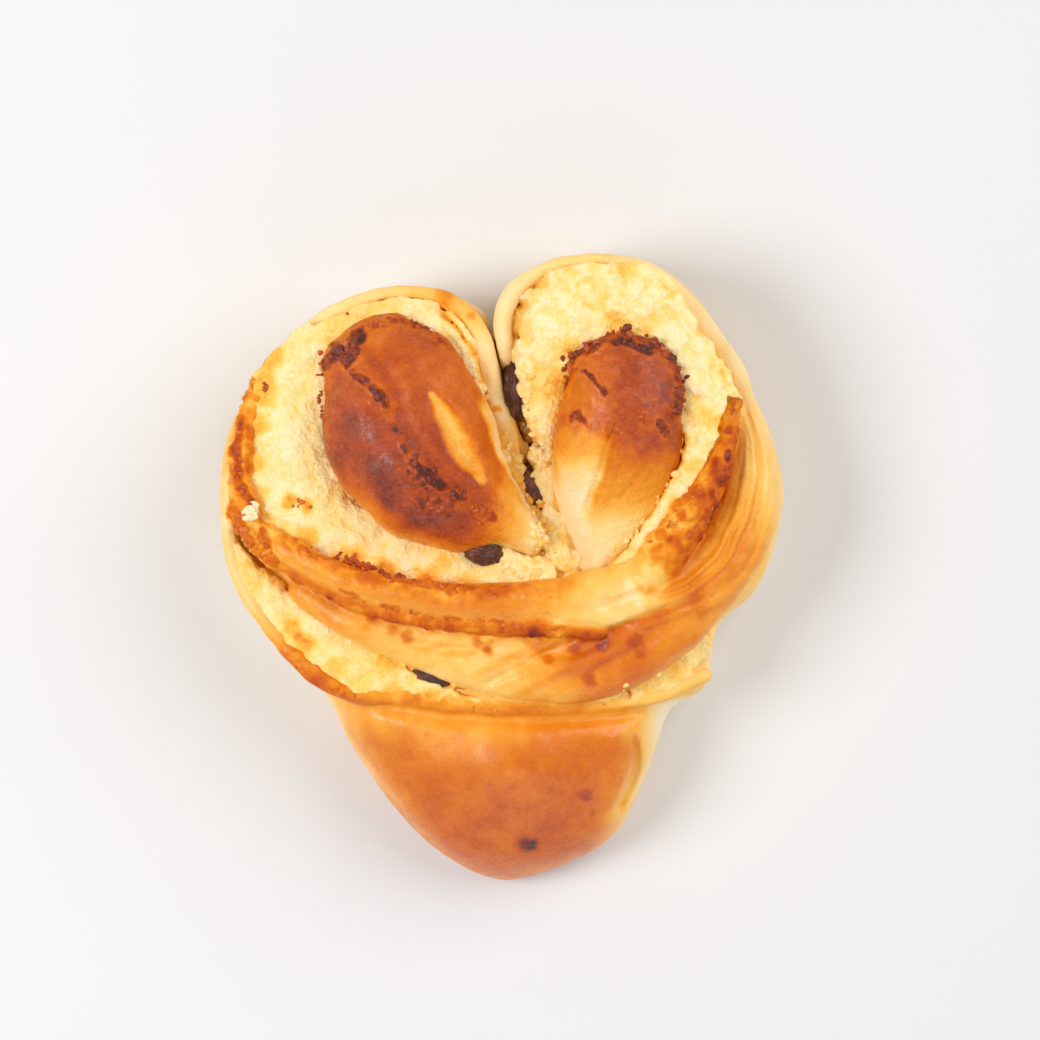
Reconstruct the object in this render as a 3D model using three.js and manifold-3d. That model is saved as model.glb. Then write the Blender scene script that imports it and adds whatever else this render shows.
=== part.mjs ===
import * as THREE from 'three';
import { mergeVertices } from 'three/addons/utils/BufferGeometryUtils.js';
import Module from 'manifold-3d';

// Coconut bun, in millimetres with +Z up. The origin is on the flat underside, at the middle of the
// bun's plan, and +Y points from the tip to the two lobes.
//
// The baker spreads a sheet of sweet dough with coconut filling, rolls it, folds the roll in two, slits
// it and turns the cut halves outwards, so that it bakes as a heart: two lobes whose layers show on top,
// a twisted belt below them, and a smooth glazed cap at the tip. Each layer of dough that shows is a
// rope that stands in one loaf, each coconut layer runs down between the ropes, and raisins sit in the
// gaps.

// ---- Driving dimensions -----------------------------------------------------------------------------

const LOAF_CENTRE = [0, 12];  // middle of the rings of the loaf
const CAP_START = -20;        // y where the loaf begins to fall towards the tip
const CAP_END = -67.5;        // y of the tip
const TIP_SHARE = 0.42;       // height of the loaf at the tip, as a share of its full height
const CAP_SWELL = { x: 3, y: -43, wide: 14, long: 9, rise: 4 };  // where the cap swells up below the lip
const ROPE_FOOT = 7;          // how deep the ropes of dough stand in the loaf
const FILLING_FOOT = 9;       // how deep the coconut layers run into the bun
const GAP = 0.3;              // clearance between pieces that touch
const CHANNEL_SLACK = 0.4;    // extra room where the straight runs of a channel cut across a bend
const CHANNEL_RISE = 5;       // how far the cutting shape of a channel stands above its filling
const OUTER_LEAN = 4;         // how far the outer coconut layer leans in under the belt as it goes down
const LEAST_SIDE = 1;         // least height of the straight side under the arch of a rope
const CLEFT_FLOOR = 18;       // lowest point of the gap between the lobes

// Side of the loaf from the underside over the shoulder: how far it lies inside the outline, and its height.
const SIDE_PROFILE = [
  [6.5, 0], [3.4, 1.6], [1.3, 5], [0.3, 9.5], [0, 14], [1.2, 18.5], [3.2, 22.5], [6.5, 25.5], [12, 27.8],
  [20, 29.2], [32, 30],
];

// The heart in plan, at its widest height, from the cleft round the left lobe, the tip and the right lobe.
const HEART_OUTLINE = [
  [-1.7, 49.5], [-4, 54], [-11, 58], [-21.5, 59.5], [-34.5, 56], [-42.6, 50.8], [-50.5, 42.5], [-56.5, 33],
  [-59.8, 23], [-59.6, 10], [-55.8, -4], [-48.3, -15.6], [-38.8, -25.4], [-32.4, -38], [-23.8, -50.5],
  [-13.2, -61.4], [-0.6, -67.8], [13, -64.4], [24.4, -56.8], [31.2, -44], [35.8, -31], [43.6, -25.6],
  [46, -13], [55.2, -3.6], [60.2, 13], [58.5, 25.5], [52.9, 37.8], [45, 52.3], [35.5, 62.8], [23, 66.4],
  [9, 64.4], [0.6, 58],
];

// Ropes of dough and layers of filling. Each row is one station: x, y, half width, height of the crest.
const LIP = [
  [-57.8, 18, 1.1, 26.5], [-57.8, 6, 1.3, 27], [-54.6, -4.5, 1.5, 27.5], [-48.8, -12.6, 1.8, 28],
  [-41.4, -20.4, 2, 28.5], [-32.6, -26.2, 2.2, 29.3], [-15, -29, 2.2, 30], [6, -30, 2.1, 30],
  [23, -29, 2, 29], [34.5, -26.5, 2, 27.5], [43, -23, 2, 25.5],
];
const BELT = [
  [-42, -5.5, 3, 33], [-31.5, -11.2, 4.2, 34.5], [-17, -15.2, 6.2, 35.5], [0, -18.7, 8.2, 36.5],
  [14.5, -20.3, 8.4, 37], [25, -18, 8, 37], [35, -12.5, 7, 36], [43.8, -4.8, 5.6, 33.5], [50, 3, 4.5, 30],
];
const LOWER_RIDGE = [
  [-46.5, 1, 1.6, 35.5], [-32.5, -6.5, 2, 37.5], [-21, -9.5, 2.2, 38.5], [-6.5, -11.5, 2.2, 39],
  [8, -12.5, 2.2, 39], [20.5, -13.5, 1.6, 38.5],
];
const UPPER_RIDGE = [
  [-52, 8, 2.5, 35.5], [-43, 2.5, 2.8, 38], [-32.5, -2.5, 3, 40], [-21, -5.5, 3.2, 41], [-6.5, -7.5, 3.8, 41],
  [8, -7, 4.2, 41], [20.5, -5, 4.4, 40.5], [31, -1.5, 4, 39.5],
];
const RIBBON = [
  [7, -8.6, 1.2, 39.5], [13.3, -10.2, 1.8, 39.8], [20.6, -10.6, 2, 39.6], [28.9, -8.1, 2, 39.2],
  [38.3, -5.2, 1.6, 37.5],
];
const LEFT_RIM = [
  [-50.6, 38.6, 1.9, 32.5], [-53.5, 30.5, 2.5, 35], [-54.5, 22.5, 2.6, 36], [-54.5, 14, 2.7, 36.5],
  [-52.5, 7.5, 2.7, 36.5], [-48.5, 3, 2.6, 36.5],
];
const LEFT_WALL = [
  [-39.6, 51.2, 1.1, 30], [-35, 53.8, 1.4, 31], [-23.5, 57.3, 1.5, 32], [-15, 56.9, 1.6, 33],
  [-8.8, 53.8, 2, 33], [-4.9, 49, 2.1, 33], [-2.9, 42.5, 2.2, 32.5], [-1.4, 36, 2, 31], [0.6, 30, 1.7, 30],
  [4.5, 23.5, 1.5, 28],
];
const RIGHT_WALL = [
  [6, 27, 0.9, 26], [3.2, 34, 0.9, 26.5], [1.7, 40.5, 1, 28], [0.6, 46, 1.5, 31.5], [0.4, 52, 1.8, 32.5],
  [3.4, 58.6, 1.7, 32.5], [10.2, 62.7, 1.5, 32], [22, 64.6, 1.6, 31.5], [32.7, 61.2, 1.9, 31],
  [41.5, 52, 2.1, 31], [48.8, 41, 2.2, 30], [53, 32, 1.8, 27.5],
];
const RIGHT_RIDGE = [[48.5, 35, 2, 34], [46, 24, 3, 37], [41.5, 14, 4, 39], [35, 4, 4.6, 40], [29, -3, 4, 39.5]];
const RIGHT_SHEET = [
  [51, 32.5, 3.6, 29], [53, 24, 5, 31], [52, 13, 6.5, 33], [47.5, 3, 7.5, 35], [39.5, -4.5, 7.5, 37],
  [29, -9, 6.5, 38],
];
const LEFT_PETAL = [
  [-27.6, 45, 11.8, 41.5], [-23.4, 38, 15.5, 45], [-18.8, 27.2, 17.4, 47], [-12.8, 18.9, 15.8, 46],
  [-5.3, 12.8, 11.5, 43], [1, 9.4, 7.2, 39], [7, 5.5, 4.2, 36],
];
const RIGHT_PETAL = [
  [26, 40, 12.2, 43.5], [24.9, 28.5, 13.3, 44.5], [23.5, 20.3, 12.9, 42.5], [22.4, 12.5, 11, 40],
  [21.4, 5.7, 7.6, 37.5], [19.8, 0.5, 4.2, 35.5],
];
const LEFT_FILLING = [
  [-5.5, 38, 2.6, 33], [-9.5, 47.5, 4, 34], [-21, 52.5, 4.6, 34.5], [-35, 48.5, 6.4, 34.5],
  [-43.5, 38, 8.4, 34.5], [-46, 24.5, 9, 34.5], [-41.5, 12.5, 9, 34.5], [-31.5, 4.5, 7.5, 34.5],
  [-17, 1, 5.5, 35], [-3, -1, 4.5, 35], [8, -1.5, 3.2, 34.5],
];
const RIGHT_FILLING = [
  [13.2, 1.5, 3.6, 32.5], [11.4, 9.5, 3, 31], [9.8, 17, 2.4, 30.5], [8.8, 25, 2.8, 32], [9.2, 32, 3.4, 34.5],
  [10.6, 44.5, 6.6, 36.5], [15, 52.5, 8.6, 37], [24, 55.5, 9, 37], [34, 51.5, 9, 37], [41, 41.5, 8, 37],
  [42.8, 28.5, 5.4, 37.5], [37.8, 15.6, 3.8, 37.5], [31, 5.2, 2.8, 36.8], [25, -1, 2.2, 36],
];
const OUTER_FILLING = [
  [-55.8, 3, 1.6, 29.4], [-52.5, -4, 3.4, 29.8], [-47, -11, 5.2, 29.9], [-38.5, -18, 6.2, 30],
  [-25.5, -23.4, 5.2, 30.2], [-17, -24.8, 4.6, 30.3], [-8.5, -26, 3.8, 30.4], [8, -27, 3.6, 30.5],
  [23, -25.5, 4.2, 30], [34.5, -20, 5, 28.5], [41.4, -15.5, 3.6, 26],
];
const CLEFT = [
  [-2.2, 60, 2.6, 44], [-1.9, 51, 1.1, 44], [0.2, 43.5, 1, 44], [2.8, 36, 1.8, 44], [4.8, 27, 2, 44],
  [7.2, 17, 2.4, 44], [10.8, 8, 1.2, 44],
];

// Raisins: middle, half length, half width, half height, and the turn of the long side from the x axis.
const RAISINS = {
  raisin_cleft: { at: [3.1, 37.2, 28.4], half: [6.9, 3, 3.8], turn: 93 },
  raisin_heart: { at: [6.6, 16.2, 27.2], half: [6.2, 3, 3.6], turn: 115 },
  raisin_left: { at: [-3.7, 3, 34], half: [4.4, 3, 3], turn: -12 },
  raisin_belt: { at: [-14.5, -23.2, 28.9], half: [5, 2.1, 2.4], turn: -15 },
};

// Burnt and browned crumbs baked onto the crust: run of the row, how many, smallest and largest radius.
const CRUMB_ROWS = [
  { run: [[-38, 33], [-36, 44], [-27, 49.5]], count: 6, radius: [1.3, 2], spread: 1.8 },
  { run: [[-29, 37], [-20, 22], [-13, 13]], count: 3, radius: [1.2, 1.7], spread: 1.6 },
  { run: [[-17, 30], [-12, 24], [-6, 19]], count: 3, radius: [1.2, 1.8], spread: 2.2 },
  { run: [[15, 34], [19, 46], [28, 50], [38, 44], [41, 36]], count: 8, radius: [1.4, 2.1], spread: 1.8 },
  { run: [[18, 38], [26, 30], [36, 24]], count: 3, radius: [1.2, 1.8], spread: 3.5 },
  { run: [[-55, 30], [-55, 18], [-50, 6]], count: 5, radius: [1.1, 1.8], spread: 1.4 },
  { run: [[-40, 2.5], [-28, -3], [-16, -5.5]], count: 5, radius: [1.1, 1.7], spread: 1.6 },
];
const CRUMB_SEED = 7;
const CRUMB_FORM = [1.25, 1, 0.8];  // length, width and height of a crumb, as shares of its radius
const CRUMB_STANDS = 0.15;          // how far its middle stands above the crust, as a share of its radius

const OUTLINE_POINTS = 66;          // points round the heart
const NOSE_ANGLES = [12, 48];       // where the rings of a rounded end stand, in degrees from its tip
const SAME_POINT = 1e-4;            // points closer than this are one point
const SHORTEST_EDGE = 0.2;          // edges that cuts leave shorter than this are closed
const ABOVE_ALL = 100;              // a height above the whole bun

// ---- Small tools --------------------------------------------------------------------------------------

const wasm = await Module();
wasm.setup();

// Repeatable random numbers between 0 and 1.
function seededRandom(seed) {
  let state = seed;
  return () => {
    state = (state * 1664525 + 1013904223) % 4294967296;
    return state / 4294967296;
  };
}

// Smooth lumps between -1 and 1 over the plan, about `size` mm apart.
function lumps(x, y, size) {
  const corner = (i, j) => {
    const n = Math.sin(i * 127.1 + j * 311.7) * 43758.5453;
    return 2 * (n - Math.floor(n)) - 1;
  };
  const u = x / size;
  const v = y / size;
  const i = Math.floor(u);
  const j = Math.floor(v);
  const s = THREE.MathUtils.smoothstep(u - i, 0, 1);
  const t = THREE.MathUtils.smoothstep(v - j, 0, 1);
  const low = THREE.MathUtils.lerp(corner(i, j), corner(i + 1, j), s);
  const high = THREE.MathUtils.lerp(corner(i, j + 1), corner(i + 1, j + 1), s);
  return THREE.MathUtils.lerp(low, high, t);
}

// A closed solid from rings of points, with a point in the middle of the first and last ring.
function loft(rings) {
  const count = rings[0].length;
  const positions = rings.flat().flatMap((point) => point.toArray());
  const middle = (ring) => ring.reduce((sum, point) => sum.add(point), new THREE.Vector3()).divideScalar(count);
  positions.push(...middle(rings[0]).toArray(), ...middle(rings[rings.length - 1]).toArray());
  const first = rings.length * count;
  const index = [];
  for (let i = 0; i < count; i++) {
    const next = (i + 1) % count;
    for (let k = 0; k < rings.length - 1; k++) {
      const low = k * count;
      const high = low + count;
      index.push(low + i, low + next, high + next, low + i, high + next, high + i);
    }
    const last = (rings.length - 1) * count;
    index.push(first, next, i, first + 1, last + i, last + next);
  }
  const geometry = new THREE.BufferGeometry();
  geometry.setAttribute('position', new THREE.Float32BufferAttribute(positions, 3));
  geometry.setIndex(index);
  return geometry;
}

// A three.js geometry as a solid that can be joined and cut.
function solid(geometry) {
  const bare = geometry.clone();
  bare.deleteAttribute('normal');
  bare.deleteAttribute('uv');
  const merged = mergeVertices(bare, SAME_POINT);
  return new wasm.Manifold(new wasm.Mesh({
    numProp: 3,
    vertProperties: new Float32Array(merged.attributes.position.array),
    triVerts: new Uint32Array(merged.index.array),
  }));
}

const joined = (solids) => solids.reduce((sum, next) => sum.add(next));

// Groups of numbered points that touch, for the two functions below.
function pointGroups(count) {
  const leader = Uint32Array.from({ length: count }, (_, i) => i);
  const find = (i) => {
    let top = i;
    while (leader[top] !== top) {
      leader[top] = leader[leader[top]];
      top = leader[top];
    }
    return top;
  };
  const unite = (i, j) => {
    leader[find(j)] = find(i);
  };
  return { find, unite };
}

function fromTriangles(points, triangles) {
  const shell = new THREE.BufferGeometry();
  shell.setAttribute('position', new THREE.BufferAttribute(points, 3));
  shell.setIndex(triangles.flat());
  return solid(shell);
}

const corners = ({ triVerts }) => Array.from({ length: triVerts.length / 3 }, (_, i) => [
  triVerts[3 * i], triVerts[3 * i + 1], triVerts[3 * i + 2],
]);

// The outer shell of the largest piece: a scrap left by a cut is dropped and a sealed hollow is filled.
function outerShell(shape) {
  const mesh = shape.getMesh();
  const points = mesh.vertProperties;
  const triangles = corners(mesh);
  const groups = pointGroups(points.length / 3);
  triangles.forEach(([a, b, c]) => {
    groups.unite(a, b);
    groups.unite(a, c);
  });
  const spot = (i) => new THREE.Vector3().fromArray(points, 3 * i);
  const volumes = new Map();
  triangles.forEach(([a, b, c]) => {
    const shell = groups.find(a);
    volumes.set(shell, (volumes.get(shell) ?? 0) + spot(a).dot(spot(b).cross(spot(c))));
  });
  const [outer] = [...volumes].sort((one, other) => other[1] - one[1])[0];
  return fromTriangles(points, triangles.filter(([a]) => groups.find(a) === outer));
}

// Cuts leave slivers: the ends of every edge shorter than `shortest` become one point.
function withoutSlivers(shape, shortest) {
  const mesh = shape.getMesh();
  const points = mesh.vertProperties;
  const groups = pointGroups(points.length / 3);
  const spot = (i) => new THREE.Vector3().fromArray(points, 3 * i);
  const triangles = corners(mesh);
  triangles.forEach((triangle) => triangle.forEach((a, i) => {
    const b = triangle[(i + 1) % 3];
    if (spot(a).distanceTo(spot(b)) < shortest) {
      groups.unite(a, b);
    }
  }));
  const merged = triangles.map((triangle) => triangle.map(groups.find))
    .filter(([a, b, c]) => a !== b && b !== c && c !== a);
  const seen = new Map();
  merged.forEach((triangle) => {
    const key = triangle.slice().sort((a, b) => a - b).join();
    seen.set(key, (seen.get(key) ?? 0) + 1);
  });
  const kept = merged.filter((triangle) => seen.get(triangle.slice().sort((a, b) => a - b).join()) === 1);
  return fromTriangles(points, kept);
}

function asMesh(name, shape, finish) {
  const { vertProperties, triVerts } = shape.getMesh();
  const geometry = new THREE.BufferGeometry();
  geometry.setAttribute('position', new THREE.Float32BufferAttribute(vertProperties, 3));
  geometry.setIndex(new THREE.Uint32BufferAttribute(triVerts, 1));
  const mesh = new THREE.Mesh(geometry, finish);
  mesh.name = name;
  return mesh;
}

// ---- Loaf, ropes and layers ---------------------------------------------------------------------------

// The loaf: rings of the heart outline, drawn in towards the middle at the foot and the shoulder.
function loaf() {
  const bends = HEART_OUTLINE.map(([x, y]) => new THREE.Vector3(x, y, 0));
  const outline = new THREE.CatmullRomCurve3(bends, true).getPoints(OUTLINE_POINTS).slice(0, -1);
  const centre = new THREE.Vector3(...LOAF_CENTRE, 0);
  const full = SIDE_PROFILE[SIDE_PROFILE.length - 1][1];
  const rings = SIDE_PROFILE.map(([inset, height]) => outline.map((point) => {
    const reach = point.clone().sub(centre);
    const moved = centre.clone().addScaledVector(reach, 1 - inset / reach.length());
    const fall = THREE.MathUtils.clamp((CAP_START - moved.y) / (CAP_START - CAP_END), 0, 1);
    const share = THREE.MathUtils.lerp(TIP_SHARE, 1, Math.sqrt(1 - fall ** 2));
    const aside = (moved.x - CAP_SWELL.x) / CAP_SWELL.wide;
    const onward = (moved.y - CAP_SWELL.y) / CAP_SWELL.long;
    moved.z = height * (share + CAP_SWELL.rise / full * Math.exp(-(aside ** 2) - onward ** 2));
    return moved;
  }));
  return solid(loft(rings));
}

// A rope of dough or a layer of filling: an arched section that follows its stations and ends in noses.
function rope(stations, options = {}) {
  const {
    foot = ROPE_FOOT, footShare = 0.6, lean = 0, arch = 0, fullness = 1, sides = 5, step = 6.5, nose = 1,
    grow = 0, relief = () => 0,
  } = options;
  const path = new THREE.CatmullRomCurve3(stations.map(([x, y, , crest]) => new THREE.Vector3(x, y, crest)));
  const width = new THREE.CatmullRomCurve3(stations.map(([, , half], i) => new THREE.Vector3(half, i, 0)));
  const count = Math.max(4, Math.round(path.getLength() / step));
  const places = [];
  NOSE_ANGLES.forEach((angle) => places.push({ along: 0, end: -1, angle }));
  for (let i = 0; i <= count; i++) {
    places.push({ along: i / count, end: 0, angle: 90 });
  }
  NOSE_ANGLES.slice().reverse().forEach((angle) => places.push({ along: 1, end: 1, angle }));
  const rings = places.map(({ along, end, angle }) => {
    const t = path.getUtoTmapping(along);
    const spot = path.getPoint(t);
    const ahead = path.getTangent(t).setZ(0).normalize();
    const aside = new THREE.Vector3(-ahead.y, ahead.x, 0);
    const turn = THREE.MathUtils.degToRad(angle);
    const half = width.getPoint(t).x + grow;
    const tall = Math.min(arch || half, spot.z - foot - LEAST_SIDE) + grow;
    const share = Math.sin(turn);
    spot.addScaledVector(ahead, end * half * nose * Math.cos(turn));
    const springing = spot.z + grow - tall;
    const ring = [];
    for (let j = 0; j <= sides; j++) {
      const bend = Math.PI * j / sides;
      const across = Math.cos(bend);
      const place = spot.clone().addScaledVector(aside, half * share * across);
      const rise = Math.sin(bend) ** fullness * share;
      place.z = springing + (tall + relief(across, along, place)) * rise;
      ring.push(place);
    }
    for (const across of [-footShare, footShare]) {
      const place = spot.clone().addScaledVector(aside, half * share * across + lean);
      place.z = foot - grow;
      ring.push(place);
    }
    return ring;
  });
  return solid(loft(rings));
}

// A crease along a rope: it runs at `at` across the width, from one share of the length to another.
function crease(across, along, { at, from, to, width, depth }) {
  const place = THREE.MathUtils.lerp(at[0], at[1], along);
  const inside = THREE.MathUtils.smoothstep(along, from, from + 0.12)
    * (1 - THREE.MathUtils.smoothstep(along, to - 0.12, to));
  return -depth * inside * Math.exp(-(((across - place) / width) ** 2));
}

// The left petal splits into three lengthwise bulges, with a pale slit on its right side.
function leftPetalRelief(across, along) {
  return crease(across, along, { at: [0, -0.05], from: 0, to: 0.9, width: 0.14, depth: 2.6 })
    + crease(across, along, { at: [0.35, 0.5], from: 0.3, to: 0.85, width: 0.14, depth: 3 });
}

// The right petal has one fold line down its pale lower half.
function rightPetalRelief(across, along) {
  return crease(across, along, { at: [-0.15, -0.5], from: 0.3, to: 0.95, width: 0.12, depth: 1.8 });
}

// The belt is twisted, so that creases cross it at a slant.
function beltRelief(across, along) {
  return crease(across, along, { at: [-0.5, 0.9], from: 0.15, to: 0.7, width: 0.2, depth: 1.6 })
    + crease(across, along, { at: [-1.6, 0.6], from: 0.5, to: 1, width: 0.2, depth: 1.2 });
}

// The outer sheet of the right lobe was pulled as it was turned, and keeps the stretch lines.
function sheetRelief(across, along) {
  return crease(across, along, { at: [0.2, 0.35], from: 0, to: 0.95, width: 0.16, depth: 1.1 })
    + crease(across, along, { at: [-0.45, -0.3], from: 0.1, to: 1, width: 0.14, depth: 0.9 });
}

// Coarse crumbs of coconut stand out of the filling.
function crumbRelief(across, along, place) {
  return 1.3 * lumps(place.x, place.y, 4.6) + 0.5 * lumps(place.x + 40, place.y, 2.6);
}

function doughRopes(grow) {
  return joined([
    rope(LIP, { grow }),
    rope(BELT, { grow, arch: 6, fullness: 0.8, sides: 9, step: 6, relief: beltRelief }),
    rope(LOWER_RIDGE, { grow }),
    rope(UPPER_RIDGE, { grow }),
    rope(RIBBON, { grow }),
    rope(LEFT_RIM, { grow }),
    rope(LEFT_WALL, { grow, sides: 4, footShare: 0.8 }),
    rope(RIGHT_WALL, { grow, sides: 4, footShare: 0.8 }),
    rope(RIGHT_RIDGE, { grow }),
    rope(RIGHT_SHEET, { grow, arch: 8, fullness: 0.9, sides: 10, step: 5, relief: sheetRelief }),
    rope(LEFT_PETAL, { grow, arch: 13, fullness: 0.8, sides: 16, step: 5, nose: 0.6, relief: leftPetalRelief }),
    rope(RIGHT_PETAL, { grow, arch: 11, fullness: 0.8, sides: 12, step: 5, nose: 0.75, relief: rightPetalRelief }),
  ]);
}

function fillingLayer({ stations, lean }, grow) {
  return rope(stations, {
    grow, lean, foot: FILLING_FOOT, arch: 4, fullness: 0.45, sides: 6, step: 4, relief: crumbRelief,
  });
}

// The channel in the loaf that a layer of filling lies in.
function channel({ stations, lean }) {
  return rope(stations, {
    grow: GAP + CHANNEL_SLACK, lean, foot: FILLING_FOOT, arch: 4, fullness: 0.3, sides: 4, step: 5.5,
    relief: () => CHANNEL_RISE,
  });
}

// A raisin: a wrinkled, slightly flattened berry.
function raisin({ at, half, turn }, grow) {
  const berry = new THREE.IcosahedronGeometry(1, 2);
  const position = berry.attributes.position;
  const point = new THREE.Vector3();
  for (let i = 0; i < position.count; i++) {
    point.fromBufferAttribute(position, i);
    const wrinkle = 1 + 0.07 * Math.sin(6 * point.x + 3 * point.z) * Math.cos(5 * point.y - 4 * point.z);
    point.multiplyScalar(wrinkle);
    position.setXYZ(i, point.x, point.y, point.z);
  }
  berry.scale(half[0] + grow, half[1] + grow, half[2] + grow);
  berry.rotateZ(THREE.MathUtils.degToRad(turn));
  berry.translate(...at);
  return solid(berry);
}

// ---- Crumbs baked onto the crust ----------------------------------------------------------------------

// Places crumbs along their rows, dropped onto the crust from above.
function crumbPlaces(crust) {
  const random = seededRandom(CRUMB_SEED);
  const down = new THREE.Raycaster();
  const places = [];
  for (const { run, count, radius, spread } of CRUMB_ROWS) {
    const row = new THREE.CatmullRomCurve3(run.map(([x, y]) => new THREE.Vector3(x, y, 0)));
    for (let i = 0; i < count; i++) {
      const spot = row.getPointAt((i + random()) / count);
      spot.x += spread * (2 * random() - 1);
      spot.y += spread * (2 * random() - 1);
      const size = THREE.MathUtils.lerp(...radius, random() ** 2);
      const turn = random() * Math.PI;
      down.set(new THREE.Vector3(spot.x, spot.y, ABOVE_ALL), new THREE.Vector3(0, 0, -1));
      const hit = down.intersectObject(crust)[0];
      places.push({ at: hit.point, size, turn });
    }
  }
  return places;
}

function crumb({ at, size, turn }, grow) {
  const [long, wide, high] = CRUMB_FORM.map((share) => size * share + grow);
  const grain = new THREE.IcosahedronGeometry(1, 0);
  grain.scale(long, wide, high);
  grain.rotateZ(turn);
  grain.translate(at.x, at.y, at.z + size * CRUMB_STANDS);
  return solid(grain);
}

// ---- The bun ------------------------------------------------------------------------------------------

const crustFinish = new THREE.MeshStandardMaterial({ color: 0xe0903a, roughness: 0.45, metalness: 0 });
const fillingFinish = new THREE.MeshStandardMaterial({ color: 0xf7da86, roughness: 0.85, metalness: 0 });
const raisinFinish = new THREE.MeshStandardMaterial({ color: 0x4a2a1e, roughness: 0.5, metalness: 0 });

const layers = {
  filling_left: { stations: LEFT_FILLING, lean: 0 },
  filling_right: { stations: RIGHT_FILLING, lean: 0 },
  filling_outer: { stations: OUTER_FILLING, lean: OUTER_LEAN },
};
const layerList = Object.values(layers);
const berries = joined(Object.values(RAISINS).map((berry) => raisin(berry, GAP)));
const cleft = rope(CLEFT, { foot: CLEFT_FLOOR, sides: 2 });

const channels = joined(layerList.map(channel));
const bareDough = outerShell(loaf().subtract(cleft).subtract(channels).add(doughRopes(0)).subtract(berries));
const places = crumbPlaces(asMesh('crust', bareDough, crustFinish));
const topped = bareDough.add(joined(places.map((place) => crumb(place, 0)))).subtract(berries);
const dough = outerShell(withoutSlivers(topped, SHORTEST_EDGE));

const bun = new THREE.Group();
bun.add(asMesh('dough', dough, crustFinish));

const cutter = doughRopes(GAP).add(berries).add(joined(places.map((place) => crumb(place, GAP))));
let taken = cutter;
for (const [name, filling] of Object.entries(layers)) {
  const layer = outerShell(withoutSlivers(fillingLayer(filling, 0).subtract(taken), SHORTEST_EDGE));
  bun.add(asMesh(name, layer, fillingFinish));
  taken = taken.add(fillingLayer(filling, GAP));
}
for (const [name, berry] of Object.entries(RAISINS)) {
  bun.add(asMesh(name, raisin(berry, 0), raisinFinish));
}

export default bun;
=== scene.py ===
import bmesh
import bpy
import numpy as np
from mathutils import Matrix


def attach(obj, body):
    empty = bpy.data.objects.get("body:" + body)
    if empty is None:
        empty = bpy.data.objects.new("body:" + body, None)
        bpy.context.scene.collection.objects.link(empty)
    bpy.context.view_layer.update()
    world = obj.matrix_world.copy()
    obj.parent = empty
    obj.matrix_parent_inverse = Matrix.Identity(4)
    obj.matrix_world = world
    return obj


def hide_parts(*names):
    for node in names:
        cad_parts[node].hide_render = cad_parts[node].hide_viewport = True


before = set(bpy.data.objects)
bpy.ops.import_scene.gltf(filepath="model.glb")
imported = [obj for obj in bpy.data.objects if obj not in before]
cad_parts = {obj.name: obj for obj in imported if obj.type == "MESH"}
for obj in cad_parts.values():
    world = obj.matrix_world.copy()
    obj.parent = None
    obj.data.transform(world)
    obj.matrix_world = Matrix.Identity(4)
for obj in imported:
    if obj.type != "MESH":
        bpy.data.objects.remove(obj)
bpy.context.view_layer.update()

import openvdb
from mathutils import Vector
from mathutils.bvhtree import BVHTree

# =====================================================================================================
# The loaf. A roll of sweet yeast dough, folded in two and turned out into a heart, then baked free on a
# tray: flat below, with sides that bulge where they rose. The closed end of the roll is a smooth cap.
# Shapes are worked out in millimetres as a solid field, negative inside, and become meshes in metres.
# =====================================================================================================

METRES = 0.001  # one millimetre
PITCH = 0.4
LOW = np.array([-63.0, -70.0, -2.0])
HIGH = np.array([64.0, 70.0, 50.0])
X, Y, Z = (np.arange(LOW[i], HIGH[i], PITCH).astype(np.float32) for i in range(3))

LOAF_CENTRE = (0.0, 12.0)
CAP_START, CAP_END, TIP_SHARE = -20.0, -67.5, 0.42
SIDE_PROFILE = [
    (6.5, 0), (3.4, 1.6), (1.3, 5), (0.3, 9.5), (0, 14), (1.2, 18.5), (3.2, 22.5), (6.5, 25.5), (12, 27.8),
    (20, 29.2), (32, 30),
]
HEART_OUTLINE = [
    (-1.7, 49.5), (-4, 54), (-11, 58), (-21.5, 59.5), (-34.5, 56), (-42.6, 50.8), (-50.5, 42.5), (-56.5, 33),
    (-59.8, 23), (-59.6, 10), (-55.8, -4), (-48.3, -15.6), (-38.8, -25.4), (-32.4, -38), (-23.8, -50.5),
    (-13.2, -61.4), (-0.6, -67.8), (13, -64.4), (24.4, -56.8), (31.2, -44), (35.8, -31), (43.6, -25.6),
    (46, -13), (55.2, -3.6), (60.2, 13), (58.5, 25.5), (52.9, 37.8), (45, 52.3), (35.5, 62.8), (23, 66.4),
    (9, 64.4), (0.6, 58),
]


def curve(rows, closed=False, step=0.5):
    """A smooth run through rows of numbers, with a row every `step` mm of its way over the plan."""
    rows = np.array(rows, float)
    if closed:
        before, start, end, after = rows, np.roll(rows, -1, 0), np.roll(rows, -2, 0), np.roll(rows, -3, 0)
    else:
        rows = np.vstack([2 * rows[0] - rows[1], rows, 2 * rows[-1] - rows[-2]])
        before, start, end, after = rows[:-3], rows[1:-2], rows[2:-1], rows[3:]
    before, start, end, after = (p[:, None] for p in (before, start, end, after))
    t = np.linspace(0, 1, 24, endpoint=False)[None, :, None]
    fine = 0.5 * (2 * start + (end - before) * t + (2 * before - 5 * start + 4 * end - after) * t**2
                  + (3 * start - before - 3 * end + after) * t**3)
    fine = fine.reshape(-1, rows.shape[1])
    fine = np.vstack([fine, fine[:1] if closed else rows[-2:-1]])
    way = np.concatenate([[0], np.cumsum(np.hypot(*np.diff(fine[:, :2], axis=0).T))])
    even = np.linspace(0, way[-1], max(6, int(way[-1] / step)))
    return np.stack([np.interp(even, way, fine[:, c]) for c in range(fine.shape[1])], 1).astype(np.float32)


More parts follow.
